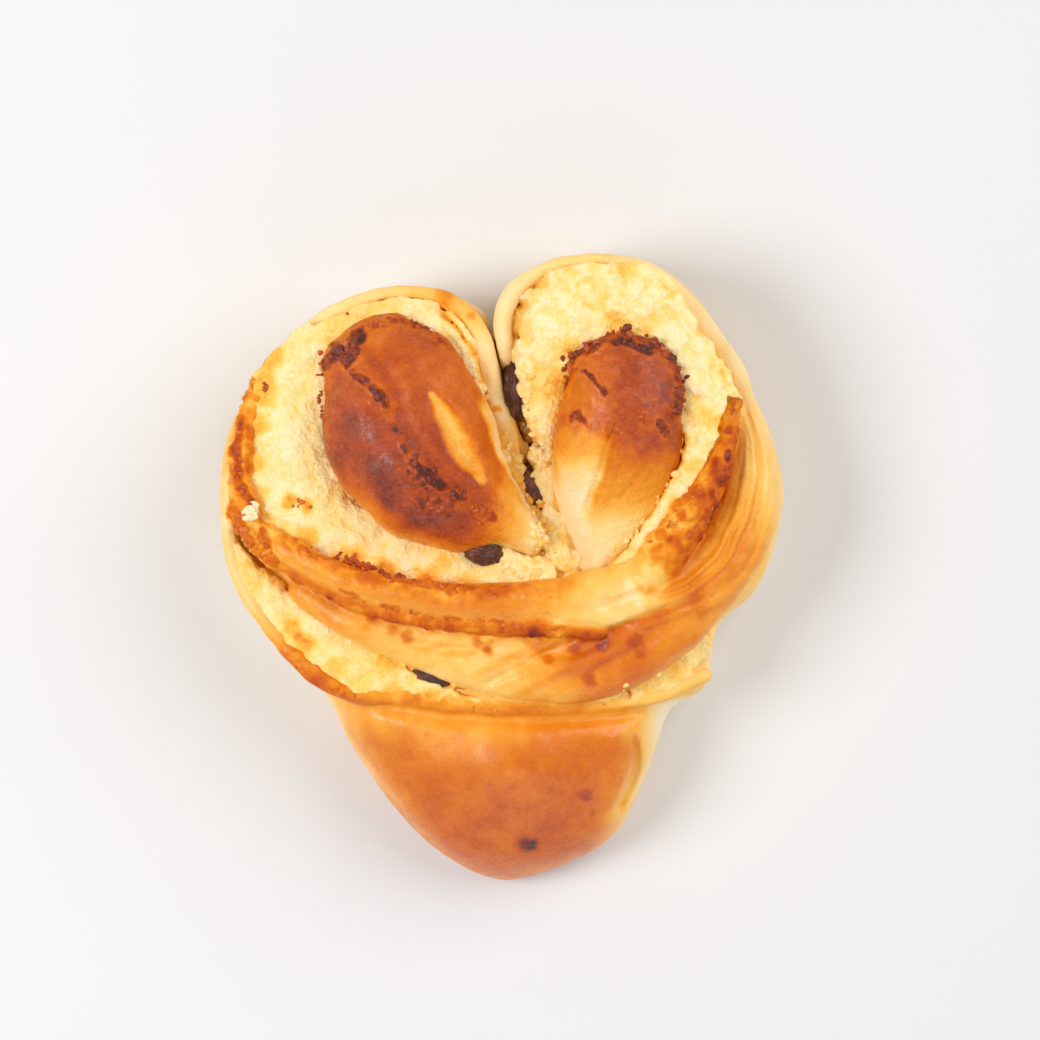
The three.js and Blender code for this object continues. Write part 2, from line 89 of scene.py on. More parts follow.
def ease(low, high, value):
    t = np.clip((value - low) / (high - low), 0, 1)
    return t * t * (3 - 2 * t)


def scatter(i, j, k, seed):
    """Repeatable numbers from 0 to 1 for whole-number places."""
    h = (i * 374761393 + j * 668265263 + k * 2246822519 + seed * 3266489917) & 0xFFFFFFFF
    h = ((h ^ (h >> 13)) * 1274126177) & 0xFFFFFFFF
    return ((h ^ (h >> 16)) & 0xFFFFFF).astype(np.float32) / 0xFFFFFF


def swell(x, y, z, size, seed=0):
    """Smooth lumps from -1 to 1, about `size` mm apart."""
    p = [np.asarray(v, np.float32) / size for v in (x, y, z)]
    cell = [np.floor(v).astype(np.int64) for v in p]
    f = [ease(0, 1, v - c) for v, c in zip(p, cell)]
    total = 0.0
    for a in (0, 1):
        for b in (0, 1):
            for c in (0, 1):
                share = (f[0] if a else 1 - f[0]) * (f[1] if b else 1 - f[1]) * (f[2] if c else 1 - f[2])
                total = total + share * scatter(cell[0] + a, cell[1] + b, cell[2] + c, seed)
    return 2 * total - 1


def cells(x, y, z, size, seed):
    """Distance to the nearest of scattered middles, about `size` mm apart, as a share of the size."""
    p = [np.asarray(v, np.float32) / size for v in (x, y, z)]
    shape = np.broadcast_shapes(*(v.shape for v in p))
    home = [np.floor(v).astype(np.int64) for v in p]
    best = np.full(shape, 9.0, np.float32)
    for a in (-1, 0, 1):
        for b in (-1, 0, 1):
            for c in (-1, 0, 1):
                at = [home[0] + a, home[1] + b, home[2] + c]
                best = np.minimum(best, sum(
                    (at[k] + scatter(*at, seed + 7 * k) - p[k]) ** 2 for k in range(3)).astype(np.float32))
    return np.sqrt(best)


def stirred(x, y, z, amount, size, seed):
    """The plan shifted to and fro, so that what is laid out on it comes out irregular."""
    return x + amount * swell(x, y, z, size, seed), y + amount * swell(x, y, z, size, seed + 1)


def blend(a, b, soft):
    """Joins two fields with a fillet about `soft` mm wide."""
    h = np.clip(0.5 + 0.5 * (b - a) / soft, 0, 1)
    return b + (a - b) * h - soft * h * (1 - h)


def side_table():
    """Distance from the loaf's side, for how far a spot lies inside the outline and how high it is."""
    line = np.vstack([curve(SIDE_PROFILE, step=1.0), [[90, 30.5]]])
    line = np.vstack([[[90, 0]], line])
    inset, height = np.meshgrid(np.arange(-8, 40.1, 0.25), np.arange(-4, 72.1, 0.25), indexing="ij")
    spot = np.stack([inset, height], -1)[:, :, None]
    a, b = line[:-1], line[1:]
    along = np.clip(((spot - a) * (b - a)).sum(-1) / ((b - a) ** 2).sum(-1), 0, 1)
    gap = np.linalg.norm(spot - a - along[..., None] * (b - a), axis=-1).min(-1)
    crosses = ((a[:, 1] > spot[..., 1]) != (b[:, 1] > spot[..., 1])) & (
        spot[..., 0] > a[:, 0] + (spot[..., 1] - a[:, 1]) * (b[:, 0] - a[:, 0]) / (b[:, 1] - a[:, 1] + 1e-9))
    return (np.where(crosses.sum(-1) % 2 == 1, -gap, gap)).astype(np.float32)


outline = curve(HEART_OUTLINE, closed=True)
outline_angle = np.arctan2(outline[:, 1] - LOAF_CENTRE[1], outline[:, 0] - LOAF_CENTRE[0])
outline_reach = np.hypot(outline[:, 0] - LOAF_CENTRE[0], outline[:, 1] - LOAF_CENTRE[1])
loaf_side = side_table()


def loaf_inset(x, y):
    """How far a spot of the plan lies inside the outline of the heart."""
    reach = np.interp(np.arctan2(y - LOAF_CENTRE[1], x - LOAF_CENTRE[0]), outline_angle, outline_reach,
                      period=2 * np.pi)
    return (reach - np.hypot(x - LOAF_CENTRE[0], y - LOAF_CENTRE[1])).astype(np.float32)


def loaf_rise(y):
    fall = np.clip((CAP_START - y) / (CAP_START - CAP_END), 0, 1)
    return (TIP_SHARE + (1 - TIP_SHARE) * np.sqrt(1 - fall**2)).astype(np.float32)


def loaf_field(x, y, z):
    inset = np.clip((loaf_inset(x, y) + 8) / 0.25, 0, loaf_side.shape[0] - 1.01)
    height = np.clip((z / loaf_rise(y) + 4) / 0.25, 0, loaf_side.shape[1] - 1.01)
    i, j = inset.astype(np.int32), height.astype(np.int32)
    s, t = (inset - i).astype(np.float32), (height - j).astype(np.float32)
    low = loaf_side[i, j] * (1 - s) + loaf_side[i + 1, j] * s
    high = loaf_side[i, j + 1] * (1 - s) + loaf_side[i + 1, j + 1] * s
    return low * (1 - t) + high * t


CAP_SWELL = {"x": 3, "y": -43, "wide": 14, "long": 9, "rise": 4}  # where the cap swells up below the lip

grid = (X[:, None, None], Y[None, :, None], Z[None, None, :])
dough = loaf_field(*grid)
swelling = np.exp(-(((grid[0] - CAP_SWELL["x"]) / CAP_SWELL["wide"]) ** 2)
                  - ((grid[1] - CAP_SWELL["y"]) / CAP_SWELL["long"]) ** 2)
dough -= CAP_SWELL["rise"] * swelling * ease(12, 20, grid[2])


# =====================================================================================================
# The strands of the dough. Where the roll was slit, the cut edges of its layers turned up, and each one
# baked as a raised strand: the lip, the twisted belt, two ridges, the rims and thin walls of the lobes.
# They grow out of the loaf, and each has its own browning along its length.
# =====================================================================================================

class Strand:
    """Dough or filling that runs over the plan: rows of x, y, half width and height of the crest."""

    def __init__(self, rows, arch=None, fullness=1.0, foot=7.0, foot_share=0.6, lean=0.0, relief=None,
                 wobble=0.3, browning=((0, 0.5),), tilt=0.0, side=0.22, glaze=0.5, nose=1.0, bank=0.0,
                 grit=((0, 0.0),), grit_side=0, tint=None):
        self.points = curve(rows)
        self.arch, self.fullness, self.foot, self.foot_share = arch, fullness, foot, foot_share
        self.lean, self.relief, self.wobble = lean, relief, wobble
        self.stops, self.tilt, self.side, self.glaze = browning, tilt, side, glaze
        self.nose, self.bank, self.grit, self.grit_side, self.tint = nose, bank, grit, grit_side, tint
        self.reach = self.points[:, 2].max() * 1.15 + 3

    def window(self):
        low = self.points[:, :2].min(0) - self.reach
        high = self.points[:, :2].max(0) + self.reach
        return tuple(slice(*np.searchsorted(axis, (a, b))) for axis, a, b in zip((X, Y), low, high))

    def beside(self, x, y):
        """For spots of the plan: signed share of the half width, run past an end, share of the length."""
        shape = np.broadcast_shapes(np.shape(x), np.shape(y))
        x, y = (np.broadcast_to(v, shape).ravel().astype(np.float32) for v in (x, y))
        px, py = self.points[:, 0], self.points[:, 1]
        near = np.concatenate([
            ((x[k:k + 20000, None] - px) ** 2 + (y[k:k + 20000, None] - py) ** 2).argmin(1)
            for k in range(0, len(x), 20000)]) if len(x) else np.zeros(0, int)
        ahead = np.gradient(self.points[:, :2], axis=0)
        ahead /= np.linalg.norm(ahead, axis=1)[:, None]
        dx, dy = x - px[near], y - py[near]
        across = dy * ahead[near, 0] - dx * ahead[near, 1]
        onward = dx * ahead[near, 0] + dy * ahead[near, 1]
        last = len(px) - 1
        beyond_end = np.where(near == last, np.clip(onward, 0, None), 0)
        past = np.where(near == 0, np.clip(-onward, 0, None), beyond_end)
        half, crest = self.points[near, 2], self.points[near, 3]
        across = across + self.wobble * swell(x, y, 0, 6, 5) + 0.4 * self.wobble * swell(x, y, 0, 2.4, 6)
        share = near / last
        return tuple(v.reshape(shape).astype(np.float32)
                     for v in (across / half, past / self.nose, share, half, crest))

    def field(self, x, y, z, place=None):
        u, past, share, half, crest = place or self.beside(x, y)
        z = z - self.bank * np.clip(u, -1, 1)
        tall = np.minimum(self.arch or half, crest - self.foot - 1)
        springing = crest - tall
        rise = np.clip((z - self.foot) / (springing - self.foot), 0, 1)
        taper = half * (self.foot_share + (1 - self.foot_share) * rise)
        if self.relief is not None:
            tall = np.clip(tall + self.relief(u, share, x, y), 0.8, None)
        out = np.hypot(u * half - self.lean * (1 - rise), past) / taper
        over = (np.clip(z - springing, 0, None) / tall) ** (1 / self.fullness)
        q = np.sqrt(out**2 + over**2) + 1e-4
        d = q * (q - 1) / np.sqrt((out / taper) ** 2 + (over / tall) ** 2 + 1e-8)
        return np.maximum(d, self.foot - z).astype(np.float32)

    def along(self, share, stops):
        """A value that changes along the strand, from (share of the length, value) stops."""
        return np.interp(share, *zip(*stops)) if len(stops) > 1 else np.full(np.shape(share), stops[0][1])

    def baked(self, place, x, y, z):
        """Browning at spots on the strand: brownest on the crest, paler down the sides."""
        u, past, share, half, crest = place
        level = self.along(share, self.stops) + self.tilt * np.clip(u, -1, 1)
        if self.tint is not None:
            level = level + self.tint(u, share, x, y)
        return level - self.side * ease(0.5, 9, crest - z)


def grow(field, strand, soft):
    """Adds a strand to a field on the grid."""
    sx, sy = strand.window()
    added = strand.field(X[sx][:, None, None], Y[sy][None, :, None], Z[None, None, :])
    field[sx, sy] = blend(field[sx, sy], added, soft)


def flat_run(rows, wobble):
    """A line over the plan, from rows of x, y and half width."""
    return Strand([(x, y, w, 0) for x, y, w in rows], wobble=wobble)


def furrow(run, x, y, depth, fade):
    """Depth of a crease at spots of the plan. It runs out over a share `fade` of its length at each end."""
    u, past, share, half, _ = run.beside(x, y)
    ends = ease(0, fade, share) * (1 - ease(1 - fade, 1, share))
    return depth * np.exp(-(u**2) - (past / half) ** 2) * ends


def groove(field, rows, depth, low=22.0):
    """Presses a crease into a field along rows of x, y and half width, or raises a fold if negative."""
    run = flat_run(rows, wobble=0.25)
    sx, sy = run.window()
    pressed = furrow(run, X[sx][:, None], Y[sy][None, :], depth, 0.12)
    field[sx, sy] += pressed[..., None] * ease(low - 2, low + 2, Z)[None, None, :]


def belt_twist(u, share, x, y):
    def crease(a, b, start, end, width, depth):
        inside = ease(start, start + 0.12, share) * (1 - ease(end - 0.12, end, share))
        return -depth * inside * np.exp(-(((u - a - (b - a) * share) / width) ** 2))
    return (crease(-0.5, 0.9, 0.15, 0.7, 0.2, 1.6) + crease(-1.6, 0.6, 0.5, 1, 0.2, 1.2)
            + 0.35 * swell(x, y, 0, 7, 11))


def sheet_stretch(u, share, x, y):
    """Fine lengthwise lines where the outer sheet of the right lobe was pulled as it was turned."""
    shifted = u + 0.1 * swell(x, y, 0, 16, 12)
    lines = np.abs(np.sin(shifted * 6.5 + 0.4)) ** 0.6 + 0.5 * np.abs(np.sin(shifted * 13 + 1)) ** 0.6
    return 0.32 * (lines - 1.1) * ease(0, 0.12, share) - 0.9 * np.exp(-(((shifted - 0.25) / 0.12) ** 2)) \
        - 0.8 * np.exp(-(((shifted + 0.4) / 0.1) ** 2)) * ease(0.1, 0.3, share)


def sheet_lines(u, share, x, y):
    shifted = u + 0.1 * swell(x, y, 0, 16, 12)
    return (0.04 * (0.6 - np.abs(np.sin(shifted * 13 + 1))) + 0.08 * np.exp(-(((shifted - 0.25) / 0.16) ** 2))
            + 0.06 * swell(x, y, 0, 7, 13))


def slanting(x, y):
    """Fine slanting streaks where the belt was twisted, from -1 to 1."""
    return swell(0.16 * (0.9 * x + 0.43 * y), 0.9 * y - 0.43 * x, 0, 1.5, 14)


def belt_streaks(u, share, x, y):
    """Browner and paler streaks along the twist."""
    return 0.08 * slanting(x, y) * ease(0.1, 0.3, share) * (1 - 0.6 * ease(0.6, 0.75, share))


def uneven(amount, size, seed):
    return lambda u, share, x, y: amount * swell(x, y, 0, size, seed)


strands = {
    "lip": (Strand([
        (-57.8, 18, 1.1, 26.5), (-57.8, 6, 1.3, 27), (-54.6, -4.5, 1.5, 27.5), (-48.8, -12.6, 1.8, 28),
        (-41.4, -20.4, 2, 28.5), (-32.6, -26.2, 2.2, 29.3), (-15, -29, 2.2, 30), (6, -30, 2.1, 30),
        (23, -29, 2, 29), (34.5, -26.5, 2, 27.5), (43, -23, 2, 25.5),
    ], relief=uneven(0.3, 4, 21), tilt=-0.1,
        browning=((0, 0.12), (0.2, 0.16), (0.27, 0.36), (0.33, 0.56), (0.41, 0.62), (0.5, 0.46), (0.62, 0.54),
                  (0.7, 0.62), (0.8, 0.5), (0.88, 0.28), (1, 0.26)),
        grit=((0.25, 0.0), (0.32, 0.5), (0.5, 0.35), (1, 0.15)), grit_side=1), 1.2),
    "belt": (Strand([
        (-42, -5.5, 3, 33), (-31.5, -11.2, 4.2, 34.5), (-17, -15.2, 6.2, 35.5), (0, -18.7, 8.2, 36.5),
        (14.5, -20.3, 8.4, 37), (25, -18, 8, 37), (35, -12.5, 7, 36), (43.8, -4.8, 5.6, 33.5),
        (50, 3, 4.5, 30),
    ], arch=6, fullness=0.8, relief=belt_twist, side=0.14, glaze=0.9, tint=belt_streaks,
        browning=((0, 0.46), (0.12, 0.44), (0.26, 0.35), (0.42, 0.32), (0.5, 0.42), (0.6, 0.6), (0.68, 0.66),
                  (0.78, 0.54), (0.88, 0.46), (1, 0.54))), 0.9),
    "lower_ridge": (Strand([
        (-46.5, 1, 1.6, 35.5), (-32.5, -6.5, 2, 37.5), (-21, -9.5, 2.2, 38.5), (-6.5, -11.5, 2.2, 39),
        (8, -12.5, 2.2, 39), (20.5, -13.5, 1.6, 38.5),
    ], relief=uneven(0.35, 3, 22), tilt=-0.1, side=0.3,
        browning=((0, 0.48), (0.2, 0.58), (0.5, 0.62), (0.8, 0.68), (1, 0.64)),
        grit=((0, 0.6), (0.5, 0.8), (1, 0.5)), grit_side=-1), 0.9),
    "upper_ridge": (Strand([
        (-52, 8, 2.5, 35.5), (-43, 2.5, 2.8, 38), (-32.5, -2.5, 3, 40), (-21, -5.5, 3.2, 41),
        (-6.5, -7.5, 3.8, 41), (8, -7, 4.2, 41), (20.5, -5, 4.4, 40.5), (31, -1.5, 4, 39.5),
    ], relief=uneven(0.5, 5, 23), tilt=0.08, glaze=0.8,
        browning=((0, 0.5), (0.25, 0.52), (0.5, 0.58), (0.66, 0.56), (0.76, 0.44), (0.86, 0.3), (1, 0.24)),
        grit=((0, 1.0), (0.3, 1.0), (0.55, 0.8), (0.75, 0.3)), grit_side=1), 0.8),
    "ribbon": (Strand([
        (7, -8.6, 1.2, 39.5), (13.3, -10.2, 1.8, 39.8), (20.6, -10.6, 2, 39.6), (28.9, -8.1, 2, 39.2),
        (38.3, -5.2, 1.6, 37.5),
    ], relief=uneven(0.3, 4, 28), glaze=0.9,
        browning=((0, 0.45), (0.3, 0.3), (0.7, 0.22), (1, 0.5))), 1.0),
    "left_rim": (Strand([
        (-50.6, 38.6, 1.9, 32.5), (-53.5, 30.5, 2.5, 35), (-54.5, 22.5, 2.6, 36),
        (-54.5, 14, 2.7, 36.5), (-52.5, 7.5, 2.7, 36.5), (-48.5, 3, 2.6, 36.5),
    ], relief=uneven(0.8, 3.5, 24),
        browning=((0, 0.46), (0.3, 0.48), (0.7, 0.5), (1, 0.5)),
        grit=((0, 1.1), (1, 1.1))), 0.9),
    "left_wall": (Strand([
        (-39.6, 51.2, 1.1, 30), (-35, 53.8, 1.4, 31), (-23.5, 57.3, 1.5, 32), (-15, 56.9, 1.6, 33),
        (-8.8, 53.8, 2, 33), (-4.9, 49, 2.1, 33), (-2.9, 42.5, 2.2, 32.5), (-1.4, 36, 2, 31),
        (0.6, 30, 1.7, 30), (4.5, 23.5, 1.5, 28),
    ], foot_share=0.8, relief=uneven(0.6, 4.5, 25), side=0.05, glaze=0.4,
        browning=((0, 0.12), (0.2, 0.2), (0.35, 0.3), (0.45, 0.42), (0.55, 0.28), (0.64, 0.14), (1, 0.08)),
        grit=((0, 0.1), (0.15, 0.4), (0.45, 0.5), (0.6, 0.0)), grit_side=-1), 0.8),
    "right_wall": (Strand([
        (6, 27, 0.9, 26), (3.2, 34, 0.9, 26.5), (1.7, 40.5, 1, 28), (0.6, 46, 1.5, 31.5),
        (0.4, 52, 1.8, 32.5), (3.4, 58.6, 1.7, 32.5), (10.2, 62.7, 1.5, 32), (22, 64.6, 1.6, 31.5),
        (32.7, 61.2, 1.9, 31), (41.5, 52, 2.1, 31), (48.8, 41, 2.2, 30), (53, 32, 1.8, 27.5),
    ], foot_share=0.8, relief=uneven(0.6, 4.5, 26), side=0.05, glaze=0.4,
        browning=((0, 0.08), (0.3, 0.12), (0.45, 0.2), (0.6, 0.16), (0.8, 0.12), (1, 0.2)),
        grit=((0.25, 0.0), (0.4, 0.35), (0.6, 0.3), (0.8, 0.05)), grit_side=-1), 0.8),
    "right_ridge": (Strand([
        (48.5, 35, 2, 34), (46, 24, 3, 37), (41.5, 14, 4, 39), (35, 4, 4.6, 40), (29, -3, 4, 39.5),
    ], relief=uneven(0.8, 3, 27), tilt=0.14,
        browning=((0, 0.5), (0.2, 0.66), (0.5, 0.7), (0.75, 0.64), (1, 0.44)),
        grit=((0, 0.9), (0.7, 1.0), (1, 0.4))), 0.8),
    "right_sheet": (Strand([
        (51, 32.5, 3.6, 29), (53, 24, 5, 31), (52, 13, 6.5, 33), (47.5, 3, 7.5, 35), (39.5, -4.5, 7.5, 37),
        (29, -9, 6.5, 38),
    ], arch=8, fullness=0.9, relief=sheet_stretch, tilt=-0.02, side=0.05, glaze=0.7, tint=sheet_lines,
        browning=((0, 0.24), (0.3, 0.34), (0.6, 0.45), (0.85, 0.59), (1, 0.64))), 1.0),
}
for strand, soft in strands.values():
    grow(dough, strand, soft)

# The gap between the two lobes.
cleft = Strand([
    (-2.2, 60, 2.6, 44), (-1.9, 51, 1.1, 44), (0.2, 43.5, 1, 44), (2.8, 36, 1.8, 44), (4.8, 27, 2, 44),
    (7.2, 17, 2.4, 44), (10.8, 8, 1.2, 44),
], foot=18, wobble=0.3)
sx, sy = cleft.window()
gap = cleft.field(X[sx][:, None, None], Y[sy][None, :, None], Z[None, None, :])
dough[sx, sy] = -blend(-dough[sx, sy], gap, 0.8)
for name in ("left_wall", "right_wall"):
    grow(dough, strands[name][0], 0.6)

# Creases that the turning left in the dough, and one raised fold across the junction.
groove(dough, [(-30, -29, 1.5), (-12, -31.6, 1.6), (8, -32.4, 1.6), (26, -31.2, 1.5), (33, -29.4, 1.4)], 1.7)
groove(dough, [(-4.4, -25, 1.0), (3.9, -21.1, 0.9), (10.2, -17.2, 0.9), (17, -13.4, 0.9)], 1.2)
groove(dough, [(8.1, -9.4, 0.8), (13.3, -11.1, 0.7), (20.6, -12.1, 0.7)], 0.5)
groove(dough, [(20, -6, 1.0), (26, -4.5, 0.9), (31, -3.5, 0.9)], -0.8)
groove(dough, [(54.5, 14, 1.0), (52.5, 3, 0.9), (45.5, -5, 0.9), (36.5, -9.5, 0.9)], 0.9)
groove(dough, [(49.5, 10, 0.8), (45.8, 1.4, 0.8), (38.6, -4.4, 0.8), (31, -7.0, 0.8)], 1.0)
groove(dough, [(28.4, -35.0, 0.9), (28.6, -41.0, 1.0), (27.2, -47.0, 1.0), (24.2, -53.0, 0.9)], 1.8, low=15)
groove(dough, [(23.6, -34.0, 3.2), (24.0, -42.0, 3.0), (21.4, -51.0, 2.6)], -0.8, low=15)


def numbers(items, what, each=3, kind=np.float32):
    """One value of all of a mesh's points or corners, as rows of an array."""
    flat = np.empty(len(items) * each, kind)
    items.foreach_get(what, flat)
    return flat.reshape(-1, each)


def mesh_from(name, points, faces):
    mesh = bpy.data.meshes.new(name)
    mesh.vertices.add(len(points))
    mesh.loops.add(faces.size)
    mesh.polygons.add(len(faces))
    mesh.vertices.foreach_set("co", points.astype(np.float32).ravel())
    mesh.loops.foreach_set("vertex_index", faces.astype(np.int32).ravel())
    mesh.polygons.foreach_set("loop_start", np.arange(0, faces.size, 3, dtype=np.int32))
    mesh.update(calc_edges=True)
    return mesh


def put_in(name, data):
    """A new object in the scene."""
    thing = bpy.data.objects.new(name, data)
    bpy.context.scene.collection.objects.link(thing)
    return thing


def largest_part(points, faces):
    """The faces that hang together as the largest piece, without the small islands beside it."""
    leader = np.arange(len(points))
    ends = np.vstack([faces[:, :2], faces[:, 1:]])
    while True:
        least = np.minimum(leader[ends[:, 0]], leader[ends[:, 1]])
        moved = leader.copy()
        np.minimum.at(moved, ends[:, 0], least)
        np.minimum.at(moved, ends[:, 1], least)
        moved = moved[moved]
        if (moved == leader).all():
            break
        leader = moved
    return faces[leader[faces[:, 0]] == np.bincount(leader).argmax()]


def skin(name, field, low=LOW, displace=None, most=190000):
    """A mesh of the surface of a field. `displace` moves each point out along its normal, in mm."""
    volume = openvdb.FloatGrid(2.5 * PITCH)
    volume.copyFromArray(np.ascontiguousarray(np.clip(field, -2.5 * PITCH, 2.5 * PITCH)))
    points, triangles, quads = volume.convertToPolygons(0.0, 0.0)
    points = points * PITCH + np.array(low, np.float32)
    faces = np.vstack([triangles.reshape(-1, 3), quads.reshape(-1, 4)[:, [0, 1, 2]],
                       quads.reshape(-1, 4)[:, [0, 2, 3]]]).astype(np.int64)
    a, b, c = (points[faces[:, k]].astype(float) for k in range(3))
    if (a * np.cross(b, c)).sum() < 0:
        faces = faces[:, ::-1]
    used, faces = np.unique(largest_part(points, faces), return_inverse=True)
    points, faces = points[used], faces.reshape(-1, 3)
    mesh = mesh_from(name, points, faces)
    mesh.validate()
    if displace is not None:
        normal = numbers(mesh.vertex_normals, "vector")
        moved = points + normal * displace(points, normal)[:, None]
        mesh.vertices.foreach_set("co", moved.ravel().astype(np.float32))
    piece = put_in(name, mesh)
    if len(faces) > most:
        fewer = piece.modifiers.new("fewer", "DECIMATE")
        fewer.ratio = most / len(faces)
        thinned = piece.evaluated_get(bpy.context.evaluated_depsgraph_get())
        lighter = bpy.data.meshes.new_from_object(thinned)
        piece.modifiers.clear()
        piece.data = lighter
        bpy.data.meshes.remove(mesh)
    piece.data.name = name
    piece.data.shade_smooth()
    return piece


def spots(piece):
    """The points of a piece, in mm until to_metres."""
    return numbers(piece.data.vertices, "co")


def give(piece, **values):
    """Stores a number for each point of the piece, which its material reads by name."""
    for name, value in values.items():
        layer = piece.data.attributes.new(name, "FLOAT", "POINT")
        layer.data.foreach_set("value", np.asarray(value, np.float32))


def to_metres(piece):
    piece.data.vertices.foreach_set("co", (spots(piece) * METRES).ravel())
    piece.data.update()


BAKED_ON = [  # crumbs of paste baked onto the crust: run, how many, radii, spread, browning
    ([(-37.1, 42.5), (-34.6, 44.6), (-31.6, 45.4), (-29.8, 47.9)], 46, 0.5, 1.15, 1.3, 0.94),
    ([(-32.3, 42.5), (-30.9, 45.0), (-29.6, 48.1)], 18, 0.5, 1.1, 0.9, 0.97),
    ([(-26.8, 50.1), (-21.4, 51.3), (-15.8, 49.8), (-10.6, 45.5)], 46, 0.35, 0.8, 0.6, 0.82),
    ([(-37.4, 45.0), (-38.0, 39.9), (-37.9, 34.7), (-37.0, 29.5)], 34, 0.35, 0.8, 0.5, 0.82),
    ([(-30.8, 40.0), (-28.0, 38.4)], 10, 0.4, 0.8, 0.8, 0.9),
    ([(-26.6, 36.8), (-24.6, 35.2), (-23.8, 33.4)], 22, 0.45, 0.95, 0.9, 0.97),
    ([(-22.8, 31.2), (-20.9, 26.3), (-18.6, 23.0)], 12, 0.35, 0.7, 0.6, 0.92),
    ([(-18.4, 21.0), (-15.9, 19.4), (-13.2, 17.4)], 46, 0.5, 1.15, 1.5, 0.99),
    ([(-17.8, 14.7), (-13.7, 13.1), (-10.5, 13.6)], 34, 0.4, 0.9, 1.2, 0.9),
    ([(-9.5, 15.2), (-7.6, 14.2)], 16, 0.4, 0.85, 0.9, 0.92),
    ([(-8.1, 12.6), (-4.8, 11.6), (-1.9, 9.6)], 24, 0.35, 0.7, 1.1, 0.82),
    ([(-10.6, 44.6), (-5.4, 39.2), (-1.9, 34.7), (0.8, 28.4), (3.3, 21.2)], 12, 0.3, 0.6, 0.4, 0.66),
    ([(12.9, 38.6), (14.7, 43.9), (21.0, 47.4), (27.2, 48.2), (33.4, 45.4), (37.4, 40.5)],
     120, 0.5, 1.15, 1.3, 0.88),
    ([(37.4, 40.5), (37.4, 34.7), (36.0, 31.6)], 34, 0.45, 1.0, 0.9, 0.88),
    ([(17.6, 40.8), (19.7, 38.2), (21.1, 36.7)], 14, 0.4, 0.8, 0.5, 0.93),
    ([(24.6, 46.9), (27.6, 46.0), (30.9, 44.6)], 26, 0.5, 1.0, 1.0, 0.97),
    ([(34.4, 44.0), (36.1, 42.9)], 14, 0.5, 1.0, 0.7, 0.97),
    ([(15.9, 31.3), (17.4, 30.3)], 9, 0.4, 0.8, 0.7, 0.88),
    ([(22.2, 28.4), (24.2, 27.8)], 6, 0.4, 0.7, 0.5, 0.8),
    ([(32.9, 29.7), (34.4, 28.2)], 12, 0.45, 0.9, 0.8, 0.92),
    ([(28.8, 30.5), (29.8, 31.5)], 4, 0.4, 0.7, 0.4, 0.86),
    ([(-50.8, 37.8), (-49.1, 38.8), (-50.0, 36.1)], 16, 0.4, 0.9, 0.7, 0.84),
    ([(-54.5, 31.1), (-55.1, 26.5), (-54.9, 20.2), (-53.9, 16.4), (-52.4, 13.9)], 46, 0.35, 0.85, 0.9, 0.78),
    ([(-55.3, 10.8), (-53.5, 6.6), (-50.8, 3.1), (-47.8, 1.4)], 70, 0.45, 1.1, 1.3, 0.68),
    ([(-49.9, 7.7), (-48.7, 3.5)], 18, 0.4, 0.9, 0.9, 0.7),
    ([(-44.5, 13.9), (-42.0, 13.1), (-39.5, 12.1)], 18, 0.4, 0.85, 0.9, 0.7),
    ([(-41.8, 4.0), (-37.6, 2.3), (-34.3, 1.5)], 18, 0.35, 0.7, 0.7, 0.68),
    ([(-33.9, 2.3), (-31.4, 1.4), (-28.1, 0.2)], 36, 0.45, 0.95, 0.9, 0.82),
    ([(-27.7, -0.2), (-26.0, -0.4)], 10, 0.45, 0.85, 0.5, 0.86),
    ([(-24.3, -1.0), (-21.4, -2.1), (-18.9, -2.7)], 30, 0.4, 0.9, 0.8, 0.8),
    ([(-16.9, -3.3), (-13.5, -3.9), (-10.2, -4.8)], 24, 0.35, 0.75, 0.9, 0.7),
    ([(-8, -5.2), (2, -6.5), (12, -6.4)], 18, 0.3, 0.6, 1.4, 0.6),
    ([(-33.6, -4.8), (-26.9, -7.3), (-17.9, -9.6), (-11.7, -10.6), (-2.3, -11.5), (8.1, -12.1),
      (15.4, -12.9)], 90, 0.3, 0.6, 0.5, 0.7),
    ([(48.7, 34.9), (48.2, 32.0)], 8, 0.35, 0.7, 0.5, 0.74),
    ([(47.8, 29.2), (47.4, 28.2)], 6, 0.45, 0.8, 0.4, 0.8),
    ([(47.6, 23.9), (47.4, 22.5)], 8, 0.5, 0.9, 0.5, 0.9),
    ([(44.9, 14.1), (42.2, 9.8), (38.9, 6.2)], 26, 0.35, 0.75, 1.1, 0.76),
    ([(41.4, 16.0), (37.2, 9.8), (33.1, 4.6)], 46, 0.3, 0.65, 1.8, 0.66),
    ([(-44.9, -19.9), (-39.9, -23.9), (-34.4, -26.5), (-27.2, -27.7)], 30, 0.3, 0.6, 0.5, 0.7),
    ([(-27.2, -27.9), (-15, -29.3), (5, -30.4), (24, -29.4)], 24, 0.25, 0.5, 0.5, 0.62),
    ([(-32.4, 52.8), (-32.2, 53.0)], 3, 0.35, 0.5, 0.25, 0.84),
    ([(12.9, 31.4), (13.5, 38), (13.6, 41)], 14, 0.35, 0.7, 0.6, 0.6),
]


